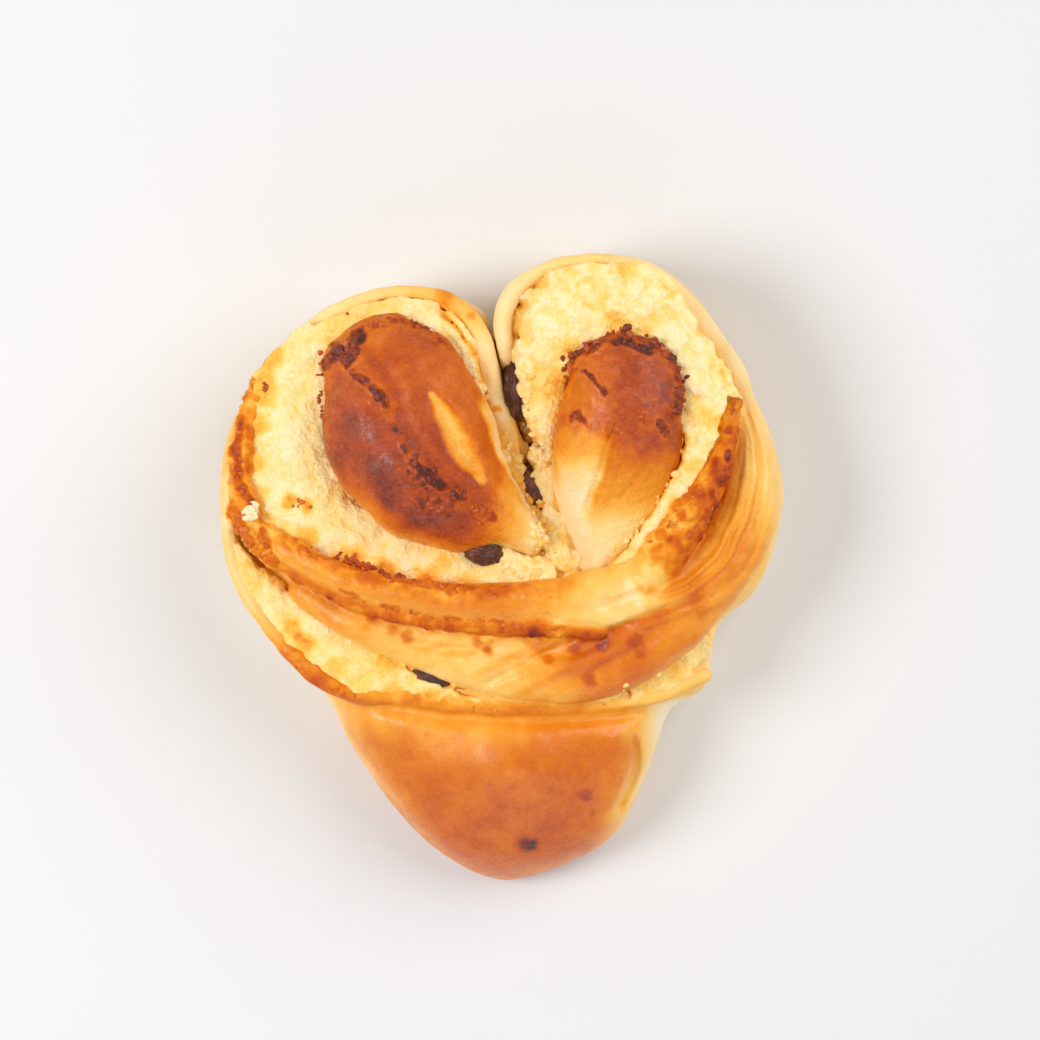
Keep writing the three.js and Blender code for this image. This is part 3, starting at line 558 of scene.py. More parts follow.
def clumps(x, y):
    """How thick crumbs lie at spots of the plan, from 0 to about 1, and how brown they are."""
    thick, burnt = np.zeros(len(x), np.float32), np.zeros(len(x), np.float32)
    for run, count, least, most, spread, level in BAKED_ON:
        path = curve(run, step=0.6)
        length = np.hypot(*np.diff(path, axis=0).T).sum()
        reach = 1.15 * spread + most
        near = ((x > path[:, 0].min() - 2 * reach) & (x < path[:, 0].max() + 2 * reach)
                & (y > path[:, 1].min() - 2 * reach) & (y < path[:, 1].max() + 2 * reach)).nonzero()[0]
        if len(near) == 0:
            continue
        dense = min(1.0, count * most**2 / (length * reach))
        away = np.sqrt(((x[near, None] - path[:, 0]) ** 2 + (y[near, None] - path[:, 1]) ** 2).min(1))
        here = 1 - ease(0.35, 1.05, away * (1 + 0.6 * swell(x[near], y[near], 0, 1.8, 103)) / reach)
        here = here * ease(0.7 - dense, 1.2 - dense, 0.5 + 0.5 * swell(x[near], y[near], 0, 2.2, 104))
        thick[near] = np.maximum(thick[near], here * min(most, 1.0))
        burnt[near] = np.maximum(burnt[near], here * level)
    return thick, burnt


def knobs(x, y):
    """Height of the knobbly top of a clump of crumbs, about -0.4 to 0.7."""
    wx, wy = stirred(x, y, 0, 0.6, 1.2, 105)
    return 0.5 - cells(wx, wy, 0 * x, 1.7, 38) + 0.4 * (0.5 - cells(x, y, 0 * x, 0.95, 39))


def clump_relief(x, y, normal):
    return clumps(x, y)[0] * (0.3 + 1.2 * knobs(x, y)) * ease(0.1, 0.5, normal[:, 2])


def scorched(x, y, brown):
    """Browning of the crust with the crumbs on it."""
    thick, burnt = clumps(x, y)
    dark = burnt - 0.04 + 0.25 * knobs(x, y)
    return brown + np.clip(1.8 * thick, 0, 1) * np.clip(dark - brown, -0.06, 1)


def grit_at(x, y, z):
    """How crumbly the crust is: 0 on smooth dough, 1 where coconut paste baked onto a strand."""
    most = np.zeros(len(x), np.float32)
    for strand, _ in strands.values():
        if max(value for _, value in strand.grit) == 0:
            continue
        low = strand.points[:, :2].min(0) - 2 - strand.points[:, 2].max()
        high = strand.points[:, :2].max(0) + 2 + strand.points[:, 2].max()
        here = ((x > low[0]) & (x < high[0]) & (y > low[1]) & (y < high[1]) & (z > 22)).nonzero()[0]
        place = strand.beside(x[here], y[here])
        away = np.abs(strand.field(x[here], y[here], z[here], place))
        u, _, share, _, crest = place
        weight = strand.along(share, strand.grit) * (1 - ease(0.3, 1.2, away)) * ease(5, 2, crest - z[here])
        if strand.grit_side:
            weight = weight * ease(-0.5, 0.5, strand.grit_side * u)
        most[here] = np.maximum(most[here], weight)
    return most


def grit_lumps(x, y):
    """Height of the coarse bumps where the crust is crumbly, about -0.5 to 0.5."""
    wx, wy = stirred(x, y, 0, 0.9, 1.7, 107)
    return 0.5 - cells(wx, wy, 0 * x, 2.3, 35)


def crust_relief(points, normal):
    """The skin of the crust isn't even: low swells all over, small blisters on top, and baked-on crumbs."""
    x, y, z = points.T
    top = ease(0.2, 0.8, normal[:, 2]) * ease(18, 26, z)
    side = 1 - ease(0.5, 0.9, np.abs(normal[:, 2]))
    swells = 0.2 * swell(x, y, z, 6, 31) + 0.08 * swell(x, y, z, 2.6, 32)
    blisters = 0.05 * top * swell(x, y, z, 1.3, 33)
    uneven_side = 0.35 * side * swell(x, y, z, 11, 34) * ease(1, 5, z)
    smooth = (swells + blisters + uneven_side) * ease(0.2, 2.5, z)
    on_belt = ease(-30, -27, y) * ease(-10, -13, y)
    smooth = smooth + 0.22 * slanting(x, y) * top * on_belt
    bits = 0.5 * (0.5 - cells(x, y, 0 * x, 1.1, 36)) + 0.45 * swell(x, y, z, 3.4, 37)
    return smooth + clump_relief(x, y, normal) + grit_at(x, y, z) * (1.1 * grit_lumps(x, y) + bits)


MARKS = [  # darker or paler places: x, y, radius, change of browning
    (-22.6, -13.2, 2.0, 0.2), (-20.1, -14.2, 1.9, 0.3), (-4.8, -15.9, 1.4, 0.3), (-2.8, -17.4, 1.7, 0.38),
    (-19, -27.6, 2.4, 0.12), (6.5, -14.6, 3.0, 0.12),
    (-27, -10.5, 2.5, 0.12), (-36, -9, 4, 0.08), (9.8, -19.8, 1.5, 0.2), (15.4, -17.3, 1.9, 0.18),
    (18.5, -23.6, 1.8, 0.2), (21.2, -16.3, 1.6, 0.16), (28.3, -15.2, 1.9, 0.16), (28.9, -18.4, 1.3, 0.12),
    (33, -10, 3, 0.05), (12, -13.5, 2.2, -0.12), (3, -23, 3, -0.06), (27, -5, 3.4, -0.16), (21, -9, 2, -0.1),
    (5.4, -59.6, 2.0, 0.24), (6.6, -59.2, 1.0, 0.12), (17.6, -48.2, 1.7, 0.14), (19.3, -51.8, 1.2, 0.12),
    (10, -47, 1.0, 0.07), (-2, -51, 6, 0.03), (12, -55, 7, 0.04), (-21, -35, 5, 0.04),
    (0, -33.5, 6, -0.04), (20, -34, 6, -0.02), (-12.5, 56.6, 2.5, 0.12), (-6.5, 52.6, 1.4, 0.2),
    (48, -6, 5, 0.05), (41, -7.6, 3, 0.08), (54.5, 2, 4, 0.06), (-45, -17.5, 2, 0.1), (-38, -24, 2.2, 0.1),
]


def facing_up(piece):
    """How far the surface faces up at each point of a piece, from -1 to 1."""
    return numbers(piece.data.vertex_normals, "vector")[:, 2]


def crust_colour(points, upward, strand_list):
    """Browning and glaze of the crust at each point, from the loaf and the strands nearest to it. On the cap
    it also holds a painted highlight.
    """
    x, y, z = points.T
    inset = loaf_inset(x, y)
    cap = ease(-27, -30, y)
    edge = inset + 0.9 * swell(x, y, z, 7, 41)
    cap_brown = 0.45 + 0.21 * ease(-30, -40, y) + 0.03 * ease(-48, -60, y) + 0.02 * swell(x, y, z, 12, 42)
    cap_brown -= (0.09 * ease(7, 2.5, edge) + 0.2 * ease(2.8, 0.4, edge)) * (0.35 + 0.65 * ease(-56, -42, y))
    cap_brown -= (0.12 * ease(14, 6, edge) + 0.14 * ease(7, 3, edge)) * ease(18, 26, x)
    # A paler patch on the upper left of the cap: partly a lighter crust, partly a painted highlight where the
    # cap's gloss faces the light.
    cap_brown -= 0.12 * np.exp(-(((x + 11) / 13) ** 2) - (((y + 37.5) / 6) ** 2))
    side_brown = 0.12 + 0.2 * ease(8, 24, z) + 0.06 * swell(x, y, z, 14, 43)
    under = 0.60 + 0.05 * swell(x, y, z, 16, 44)
    brown = side_brown + (cap_brown - side_brown) * cap
    brown = brown + (under - brown) * ease(2.2, 0.4, z)
    gloss = 0.45 + 0.5 * cap
    gloss = gloss * ease(0.4, 3, z)
    fields, levels, glazes = [loaf_field(x, y, z)], [brown], [gloss]
    for strand in strand_list:
        field, level = np.full(len(x), 9.0, np.float32), np.zeros(len(x), np.float32)
        low = strand.points[:, :2].min(0) - strand.reach
        high = strand.points[:, :2].max(0) + strand.reach
        here = ((x > low[0]) & (x < high[0]) & (y > low[1]) & (y < high[1])).nonzero()[0]
        place = strand.beside(x[here], y[here])
        field[here] = strand.field(x[here], y[here], z[here], place)
        level[here] = strand.baked(place, x[here], y[here], z[here])
        fields.append(field)
        levels.append(level)
        glazes.append(np.full(len(x), strand.glaze, np.float32))
    fields, levels, glazes = np.array(fields), np.array(levels), np.array(glazes)
    weight = np.exp(-(fields - fields.min(0)) / 0.35)
    weight /= weight.sum(0)
    level, gloss = (weight * levels).sum(0), (weight * glazes).sum(0)
    top = ease(12, 22, z)
    for mx, my, radius, change in MARKS:
        frayed = 0.55 * swell(x, y, z, 1.9, 45) + 0.2 * swell(x, y, z, 0.8, 49)
        gap = np.hypot(x - mx, y - my) / radius + frayed
        level = level + change * top * (1 - ease(0.3, 1.15, gap))
    grit = grit_at(x, y, z)
    level = level + 0.035 * swell(x, y, z, 5, 46) + 0.03 * swell(x, y, z, 2.2, 47)
    spotty = 0.16 * swell(x, y, z, 3, 48) + 0.1 * swell(x, y, z, 1.2, 50)
    level = level + grit * (0.3 * grit_lumps(x, y) + spotty)
    upper = ease(0.05, 0.45, upward)
    thick = clumps(x, y)[0] * upper
    level = level + (scorched(x, y, level) - level) * upper
    gloss = gloss * (1 - 0.5 * np.clip(grit + thick, 0, 1))
    return np.clip(level, 0, 1), np.clip(gloss, 0, 1)


def rgb(*values):
    """A colour in 8-bit sRGB as Blender's linear colour."""
    share = np.array(values) / 255
    return (*np.where(share <= 0.04045, share / 12.92, ((share + 0.055) / 1.055) ** 2.4), 1.0)


def new_node(tree, kind, inputs=(), **settings):
    node = tree.nodes.new(kind)
    for key, value in settings.items():
        setattr(node, key, value)
    for key, value in dict(inputs).items():
        if isinstance(value, bpy.types.NodeSocket):
            tree.links.new(value, node.inputs[key])
        else:
            node.inputs[key].default_value = value
    return node


def maths(tree, operation, *values, use_clamp=False):
    """What one sum of sockets or numbers comes to."""
    return new_node(tree, "ShaderNodeMath", dict(enumerate(values)), operation=operation,
                    use_clamp=use_clamp).outputs[0]


def noise(tree, place, scale, detail, roughness, distortion=0.0):
    return new_node(tree, "ShaderNodeTexNoise", {
        "Vector": place, "Scale": scale, "Detail": detail, "Roughness": roughness, "Distortion": distortion,
    }).outputs["Fac"]


def stored(tree, name):
    """A number that give() stored for each point."""
    return new_node(tree, "ShaderNodeAttribute", attribute_name=name).outputs["Fac"]


def bumped(tree, height, strength, distance):
    return new_node(tree, "ShaderNodeBump", {
        "Height": height, "Strength": strength, "Distance": distance}).outputs["Normal"]


def new_material(name):
    """A material, its node tree and its shader."""
    material = bpy.data.materials.new(name)
    material.use_nodes = True
    return material, material.node_tree, material.node_tree.nodes["Principled BSDF"]


def new_group(name, inputs, outputs):
    group = bpy.data.node_groups.new(name, "ShaderNodeTree")
    for socket, kind in inputs.items():
        group.interface.new_socket(socket, in_out="INPUT", socket_type=kind)
    for socket, kind in outputs.items():
        group.interface.new_socket(socket, in_out="OUTPUT", socket_type=kind)
    return group, group.nodes.new("NodeGroupInput"), group.nodes.new("NodeGroupOutput")


def ramp(tree, factor, stops):
    """A colour ramp from (place, colour) stops."""
    node = new_node(tree, "ShaderNodeValToRGB", {"Fac": factor})
    node.color_ramp.elements.remove(node.color_ramp.elements[1])
    node.color_ramp.elements[0].position, node.color_ramp.elements[0].color = stops[0][0], stops[0][1]
    for place, colour in stops[1:]:
        node.color_ramp.elements.new(place).color = colour
    return node.outputs["Color"]


# Browning of baked dough, from pale crumb over gold and orange to burnt, mottled as a real crust is.
browning, entry, leave = new_group(
    "browning",
    {"Brown": "NodeSocketFloat", "Mottle": "NodeSocketFloat", "Speckle": "NodeSocketFloat"},
    {"Colour": "NodeSocketColor"})
place = new_node(browning, "ShaderNodeTexCoord").outputs["Object"]
patches = maths(browning, "SUBTRACT", noise(browning, place, scale=260.0, detail=5.0, roughness=0.62), 0.5)
specks = maths(browning, "SUBTRACT", noise(browning, place, scale=1500.0, detail=2.0, roughness=0.5), 0.5)
mottled = maths(browning, "MULTIPLY_ADD", patches, entry.outputs["Mottle"], entry.outputs["Brown"])
level = maths(browning, "MULTIPLY_ADD", specks, entry.outputs["Speckle"], mottled, use_clamp=True)
colour = ramp(browning, level, [
    (0.00, rgb(253, 230, 188)), (0.16, rgb(252, 214, 142)), (0.32, rgb(247, 190, 84)),
    (0.46, rgb(239, 155, 36)), (0.60, rgb(219, 117, 6)), (0.70, rgb(202, 92, 3)), (0.80, rgb(171, 65, 9)),
    (0.90, rgb(124, 46, 20)), (1.00, rgb(68, 31, 19)),
])
browning.links.new(colour, leave.inputs["Colour"])

# Height of a fine baked skin: tight wrinkles and pores.
baked_skin, entry, leave = new_group(
    "baked_skin", {"Wrinkle": "NodeSocketFloat", "Pores": "NodeSocketFloat"}, {"Height": "NodeSocketFloat"})
place = new_node(baked_skin, "ShaderNodeTexCoord").outputs["Object"]
pores = new_node(baked_skin, "ShaderNodeTexVoronoi", {"Vector": place, "Scale": 1300.0}, feature="F1")
wrinkles = noise(baked_skin, place, scale=750.0, detail=6.0, roughness=0.62, distortion=0.6)
wrinkles = maths(baked_skin, "MULTIPLY", wrinkles, entry.outputs["Wrinkle"])
height = maths(baked_skin, "MULTIPLY_ADD", pores.outputs["Distance"], entry.outputs["Pores"], wrinkles)
baked_skin.links.new(height, leave.inputs["Height"])


def browned(tree, mottle, speckle):
    """The colour of baked dough for the browning stored in each point."""
    return new_node(tree, "ShaderNodeGroup", {
        "Brown": stored(tree, "brown"), "Mottle": mottle, "Speckle": speckle,
    }, node_tree=browning).outputs["Colour"]


def wrinkled(tree, wrinkle, pores):
    return new_node(tree, "ShaderNodeGroup", {
        "Wrinkle": wrinkle, "Pores": pores}, node_tree=baked_skin).outputs["Height"]


def crust_material(name, mottle, speckle, wrinkle, pores, rough, coat_rough, specular, bump_strength):
    """Baked crust. Glaze makes it smoother and gives it a coat, which wrinkles and pores break up."""
    material, tree, shader = new_material(name)
    glaze = stored(tree, "glaze")
    surface = wrinkled(tree, wrinkle, pores)
    roughness = new_node(tree, "ShaderNodeMapRange", {"Value": glaze, "To Min": rough[0], "To Max": rough[1]})
    glazed = new_node(tree, "ShaderNodeMapRange", {"Value": glaze, "From Min": 0.3})
    unbroken = new_node(tree, "ShaderNodeMapRange", {
        "Value": surface, "From Min": 0.4, "From Max": 0.8, "To Min": 1.0, "To Max": 0.15})
    coat = maths(tree, "MULTIPLY", glazed.outputs["Result"], unbroken.outputs["Result"])
    tree.links.new(browned(tree, mottle, speckle), shader.inputs["Base Color"])
    tree.links.new(roughness.outputs["Result"], shader.inputs["Roughness"])
    tree.links.new(coat, shader.inputs["Coat Weight"])
    tree.links.new(bumped(tree, surface, bump_strength, distance=0.0005), shader.inputs["Normal"])
    shader.inputs["Coat Roughness"].default_value = coat_rough
    shader.inputs["Subsurface Weight"].default_value = 0.12
    shader.inputs["Subsurface Radius"].default_value = (1.0, 0.45, 0.16)
    shader.inputs["Subsurface Scale"].default_value = 0.003
    shader.inputs["Specular IOR Level"].default_value = specular
    return material


crust = crust_material("crust", mottle=0.12, speckle=0.08, wrinkle=0.7, pores=0.35, rough=(0.6, 0.42),
                       coat_rough=0.33, specular=0.2, bump_strength=0.4)

bun = skin("crust_loaf", dough, displace=crust_relief)
brown, glaze = crust_colour(spots(bun), facing_up(bun), [strand for strand, _ in strands.values()])
give(bun, brown=brown, glaze=glaze)
to_metres(bun)
bun.data.materials.append(crust)
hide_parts("dough")
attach(bun, "root")

# =====================================================================================================
# The left petal. The middle of the left lobe is a thick tongue of dough that rose highest of all, so it
# baked red-brown. Its skin has one long crease, and it split open on the right, where it stayed pale.
# =====================================================================================================

LEFT_PETAL = [
    (-27.6, 45, 11.8, 41.5), (-23.4, 38, 15.5, 45), (-18.8, 27.2, 17.4, 47), (-12.8, 18.9, 15.8, 46),
    (-5.3, 12.8, 11.5, 43), (1, 9.4, 7.2, 39), (7, 5.5, 4.2, 36),
]


def own_grid(strand):
    sx, sy = strand.window()
    sz = slice(*np.searchsorted(Z, (strand.foot - 2, 50)))
    low = np.array([X[sx][0], Y[sy][0], Z[sz][0]])
    return (X[sx][:, None, None], Y[sy][None, :, None], Z[sz][None, None, :]), low


def press(field, axes, rows, depth):
    """As groove, on a piece's own grid."""
    x, y, _ = axes
    field += furrow(flat_run(rows, wobble=0.25), x[..., 0], y[..., 0], depth, 0.15)[..., None]


def petal_relief(points, normal):
    x, y, z = points.T
    top = ease(0.1, 0.7, normal[:, 2])
    folds = swell(0.86 * x - 0.5 * y, 0.3 * (0.5 * x + 0.86 * y), z * 0.3, 1.1, 51)
    return (0.25 * swell(x, y, z, 7, 52) + 0.1 * swell(x, y, z, 2.4, 53) + 0.12 * top * folds
            + clump_relief(x, y, normal))


left_petal = Strand(LEFT_PETAL, arch=13, fullness=0.8, foot=14, nose=0.6, wobble=0.5,
                    relief=uneven(0.5, 8, 54))
axes, low = own_grid(left_petal)
petal = left_petal.field(*axes)
press(petal, axes, [(-26.0, 44, 1.5), (-22.6, 39, 1.6), (-20.0, 31.3, 1.7), (-16.6, 25, 1.8),
                    (-13.0, 20.2, 1.6), (-5.6, 12.9, 1.2)], 1.0)
press(petal, axes, [(-14.4, 35.8, 1.1), (-10.6, 29.2, 2.0), (-7.6, 23.8, 2.3), (-4.2, 18.2, 1.2)], 2.0)
press(petal, axes, [(-12.0, 37.0, 1.2), (-7.6, 30.6, 1.3), (-4.6, 25.0, 1.4), (-1.6, 18.6, 1.1)], -1.0)
press(petal, axes, [(-31.5, 40.0, 3.2), (-29, 31, 3.6), (-23, 21.4, 3.6), (-14.5, 14.2, 3.0)], -0.9)
petal_left = skin("crust_petal_left", petal, low, petal_relief, most=110000)
points = spots(petal_left)
x, y, z = points.T
u, past, share, half, crest = left_petal.beside(x, y)
edge_noise = 0.09 * swell(x, y, z, 4, 55)
brown = np.interp(share, (0, 0.1, 0.4, 0.62, 0.76, 0.88, 1), (0.7, 0.77, 0.83, 0.84, 0.78, 0.46, 0.2))
middle = np.exp(-(((u - 0.06) / 0.3) ** 2)) * ease(0.04, 0.12, share) * (1 - ease(0.5, 0.75, share))
brown = brown - 0.04 * middle - 0.15 * ease(0.2, 0.6, u) * ease(0.05, 0.25, share)
brown = brown + 0.03 * ease(-0.15, -0.4, u) * ease(0.1, 0.3, share) * (1 - ease(0.6, 0.75, share))
slit = flat_run([(-14.4, 35.6, 0.8), (-10.8, 29.2, 2.2), (-7.7, 23.6, 2.6), (-4.2, 18.2, 1.1)], wobble=0.2)
su, sp, ss, sh, _ = slit.beside(x, y)
opened = np.hypot(np.where(su > 0, su, su * 1.2), sp / sh)
inside = 0.28 + 0.1 * ss + 0.1 * np.abs(su) - 0.03 * np.clip(su, -1, 1) + 0.04 * swell(x, y, z, 1.6, 58)
brown = brown + (inside - brown) * (1 - ease(0.45, 1.5, opened + 0.2 * swell(x, y, z, 2.2, 59)))
lip_of_slit = np.exp(-(((su + 1.15) / 0.3) ** 2) - (sp / sh) ** 2) * ease(0.1, 0.4, ss)
brown = brown + 0.06 * lip_of_slit
brown = brown - 0.3 * ease(-0.62, -0.98, u + edge_noise) * ease(0.3, 0.5, share) * (1 - ease(0.9, 1, share))
brown = brown - 0.5 * ease(0.84, 1.0, u + edge_noise) * ease(0.3, 0.5, share) * (1 - ease(0.9, 1, share))
brown = brown + 0.06 * np.exp(-((u / 0.1) ** 2)) * (1 - ease(0.6, 0.8, share))
brown = brown - 0.1 * ease(7, 12, crest - z) * ease(0.2, 0.4, share)
brown = brown + 0.04 * swell(x, y, z, 5, 56) + 0.035 * swell(x, y, z, 1.8, 57)
brown = scorched(x, y, brown)
gloss = 0.55 + 0.45 * ease(-0.05, -0.25, u) * (1 - ease(0.6, 0.8, share)) - 0.4 * clumps(x, y)[0]
give(petal_left, brown=np.clip(brown, 0, 1), glaze=gloss)
to_metres(petal_left)
petal_crust = crust_material("petal_crust", mottle=0.12, speckle=0.12, wrinkle=1.0, pores=0.3,
                             rough=(0.56, 0.4), coat_rough=0.35, specular=0.25, bump_strength=0.8)
petal_left.data.materials.append(petal_crust)
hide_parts("dough")
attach(petal_left, "root")

# =====================================================================================================
# The right petal. The middle of the right lobe, a shorter tongue of dough: its head is burnt red-brown
# and rough, and below a soft fold line it fades over orange to pale dough that hardly browned.
# =====================================================================================================

RIGHT_PETAL = [
    (26, 40, 12.2, 43.5), (24.9, 28.5, 13.3, 44.5), (23.5, 20.3, 12.9, 42.5), (22.4, 12.5, 11, 40),
    (21.4, 5.7, 7.6, 37.5), (19.8, 0.5, 4.2, 35.5),
]
right_petal = Strand(RIGHT_PETAL, arch=11, fullness=0.8, foot=14, nose=0.75, wobble=0.5,
                     relief=uneven(0.5, 7, 61))
axes, low = own_grid(right_petal)
petal = right_petal.field(*axes)
press(petal, axes, [(23.2, 29.5, 0.9), (22.0, 25, 1.0), (20.4, 19.5, 1.0), (18.6, 14, 0.9),
                    (17.4, 10, 0.8)], 1.5)
press(petal, axes, [(25.0, 28.0, 1.1), (23.8, 23, 1.2), (22.4, 18, 1.2), (20.6, 12, 1.0)], -0.8)
press(petal, axes, [(31, 22.5, 0.8), (27.4, 17.4, 0.8), (24.0, 13.0, 0.7)], 0.6)
press(petal, axes, [(14.0, 39.0, 2.4), (17.5, 31.5, 2.6), (25, 27, 2.6), (33, 27.5, 2.2)], 0.7)
petal_right = skin("crust_petal_right", petal, low, petal_relief, most=90000)
points = spots(petal_right)
x, y, z = points.T
u, past, share, half, crest = right_petal.beside(x, y)
ragged = 1.6 * swell(x, y, z, 4, 62) + 1.0 * swell(x, y, z, 1.7, 66)
head = ease(26, 30.5, y + 1.3 * ragged + 0.55 * np.clip(x - 22, 0, 9))
fold = np.interp(y, (9, 14, 19.5, 25, 29.5), (17.2, 18.4, 20.2, 21.8, 23))
right = ease(-1.0, 1.8, x - fold + 0.4 * ragged)
pale = 0.07 + 0.42 * ease(15, 27, y + ragged) + 0.1 * ease(12.5, 10, x)
orange = 0.16 + 0.36 * ease(6, 17, y + 0.35 * ragged) + 0.16 * ease(17, 25, y + ragged)
brown = pale + (orange - pale) * right
brown = brown + (0.69 + 0.1 * ease(20, 25, x + 0.5 * ragged) - brown) * head
# A paler spot on the left of the head: a painted highlight.
brown = brown - 0.06 * np.exp(-(((x - 18) / 5) ** 2) - (((y - 34) / 5) ** 2))
brown = brown - 0.1 * ease(6, 11, crest - z)
brown = brown + 0.04 * swell(x, y, z, 5, 64) + 0.05 * head * swell(x, y, z, 1.4, 65)
brown = scorched(x, y, brown)
give(petal_right, brown=np.clip(brown, 0, 1), glaze=0.45 + 0.4 * head * (1 - clumps(x, y)[0]))
to_metres(petal_right)
petal_right.data.materials.append(petal_crust)
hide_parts("dough")
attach(petal_right, "root")

# =====================================================================================================
# The coconut filling. A soft paste of grated coconut, sugar and egg fills the space between the layers
# of dough. Its top is lumpy and crumbly, with loose grains and small hollows, and toasts near the rims.
# Its colour is darkened with painted shade in the hollows and low down.
# =====================================================================================================

LEFT_FILLING = [
    (-5.5, 38, 2.6, 33), (-9.5, 47.5, 4, 34), (-21, 52.5, 4.6, 34.5), (-35, 48.5, 6.4, 34.5),
    (-43.5, 38, 8.4, 34.5), (-46, 24.5, 9, 34.5), (-41.5, 12.5, 9, 34.5), (-31.5, 4.5, 7.5, 34.5),
    (-17, 1, 5.5, 35), (-3, -1, 4.5, 35), (8, -1.5, 3.2, 34.5),
]
RIGHT_FILLING = [
    (13.2, 1.5, 3.6, 32.5), (11.4, 9.5, 3, 31), (9.8, 17, 2.4, 30.5), (8.8, 25, 2.8, 32),
    (9.2, 32, 3.4, 34.5), (10.6, 44.5, 6.6, 36.5), (15, 52.5, 8.6, 37), (24, 55.5, 9, 37),
    (34, 51.5, 9, 37), (41, 41.5, 8, 37), (42.8, 28.5, 5.4, 37.5), (37.8, 15.6, 3.8, 37.5),
    (31, 5.2, 2.8, 36.8), (25, -1, 2.2, 36),
]
OUTER_FILLING = [
    (-55.8, 3, 1.6, 29.4), (-52.5, -4, 3.4, 29.8), (-47, -11, 5.2, 29.9), (-38.5, -18, 6.2, 30),
    (-25.5, -23.4, 5.2, 30.2), (-17, -24.8, 4.6, 30.3), (-8.5, -26, 3.8, 30.4), (8, -27, 3.6, 30.5),
    (23, -25.5, 4.2, 30), (34.5, -20, 5, 28.5), (41.4, -15.5, 3.6, 26),
]
LOW_BANKS = {  # paste that spread thinly up to the outer walls
    "filling_right": [
        (3.0, 45, 2.2, 30.5), (3.6, 51, 2.8, 31.2), (7.0, 57.2, 3.4, 32), (13.5, 60.8, 3.4, 32.6),
        (22, 61.8, 3.6, 33.2), (30.5, 59.6, 4.4, 33.2), (37.6, 55.2, 4.4, 32.4), (44.6, 46, 4.2, 32),
        (50, 36, 3.2, 31),
    ],
    "filling_left": [
        (-6.6, 44, 2.0, 33.4), (-9.5, 50.5, 2.6, 33.4), (-17, 54.5, 2.8, 33.2), (-28, 54.6, 3.0, 32.6),
        (-38, 51, 3.4, 32), (-46, 43.5, 3.4, 32.6), (-50.5, 36, 3.0, 34),
    ],
    "filling_outer": [
        (-56.5, 4, 1.6, 28), (-53.6, -4.6, 2.2, 28.4), (-46.5, -13.4, 2.6, 29), (-38, -21, 2.8, 29.4),
        (-29, -25, 2.6, 30),
    ],
}
CRACKS = [  # narrow gaps where the filling pulled away as it baked: height of their floor, and their run
    (33.0, [(-12.8, 52.1, 0.2), (-8.0, 48.1, 0.24), (-4.9, 43.7, 0.28), (-3.4, 39.1, 0.26)]),
    (34.0, [(38.6, 27.5, 0.2), (36.9, 22.4, 0.26), (33.2, 14.8, 0.3), (29.0, 8.5, 0.34),
            (23.9, 2.4, 0.34), (20.2, -1.6, 0.3)]),
    (27.0, [(-19.8, -21.0, 0.45), (-15.2, -22.7, 0.8), (-10.6, -24.8, 0.7)]),
    (27.0, [(-9.5, -25.4, 0.4), (-2.6, -27.4, 0.5), (3.5, -28.0, 0.6), (13.2, -28.4, 0.6),
            (21.1, -29.0, 0.6), (27, -27.0, 0.5)]),
]
DIPS = [  # where the top of the filling sank: x, y, radius, depth
    (2.6, 53.5, 3.2, 1.2), (4.6, 48.5, 2.6, 1.0), (7.5, 58, 3.0, 0.9), (13.5, 37, 2.6, 1.6),
    (12.6, 32, 2.0, 1.2), (-20, 55.2, 3.0, 1.0), (-30, 53.6, 3.0, 1.0), (-12, 53.6, 2.4, 1.0),
    (-30, 15, 3.5, 0.8), (40, 50, 4, 0.8), (-26, 6.5, 3.0, 1.2), (-17, 4, 3.0, 1.2), (-7, 1.5, 3.0, 1.4),
    (20, 57.5, 3.0, 0.9), (30, 56, 3.0, 0.9),
]


def lumps(x, y, z):
    """How deep a spot lies between the lumps and between the grains of the paste, 0 to about 1 each."""
    wx, wy = stirred(x, y, z, 1.1, 3.4, 71)
    return cells(wx, wy, z, 4.0, 73), cells(wx, wy, z, 1.7, 74)


def crumbly(field, axes, low, lumpy):
    """Lumps of paste with coarse grains on top of a layer of filling, above the height `low`."""
    x, y, z = axes
    top = ease(low - 4, low, z)
    near = np.flatnonzero(top.ravel() > 0)
    zt = z[..., near]
    large, small = lumps(x, y, zt)
    rise = 0.9 * swell(x, y, zt, 5.5, 75) + lumpy * (2.4 * (0.5 - large) + 1.2 * (0.5 - small))
    field[..., near] -= rise * top[..., near]
    for dx, dy, radius, depth in DIPS:
        field += depth * np.exp(-((x - dx) ** 2 + (y - dy) ** 2) / radius**2)
    return field


def filling_grain(points, normal):
    x, y, z = points.T
    wx, wy = stirred(x, y, z, 0.5, 1.1, 85)
    grains = 0.2 * (0.5 - cells(wx, wy, z, 1.0, 76)) + 0.1 * swell(x, y, z, 0.7, 77)
    return (grains + 0.16 * swell(x, y, z, 1.9, 87)) * ease(20, 25, z)


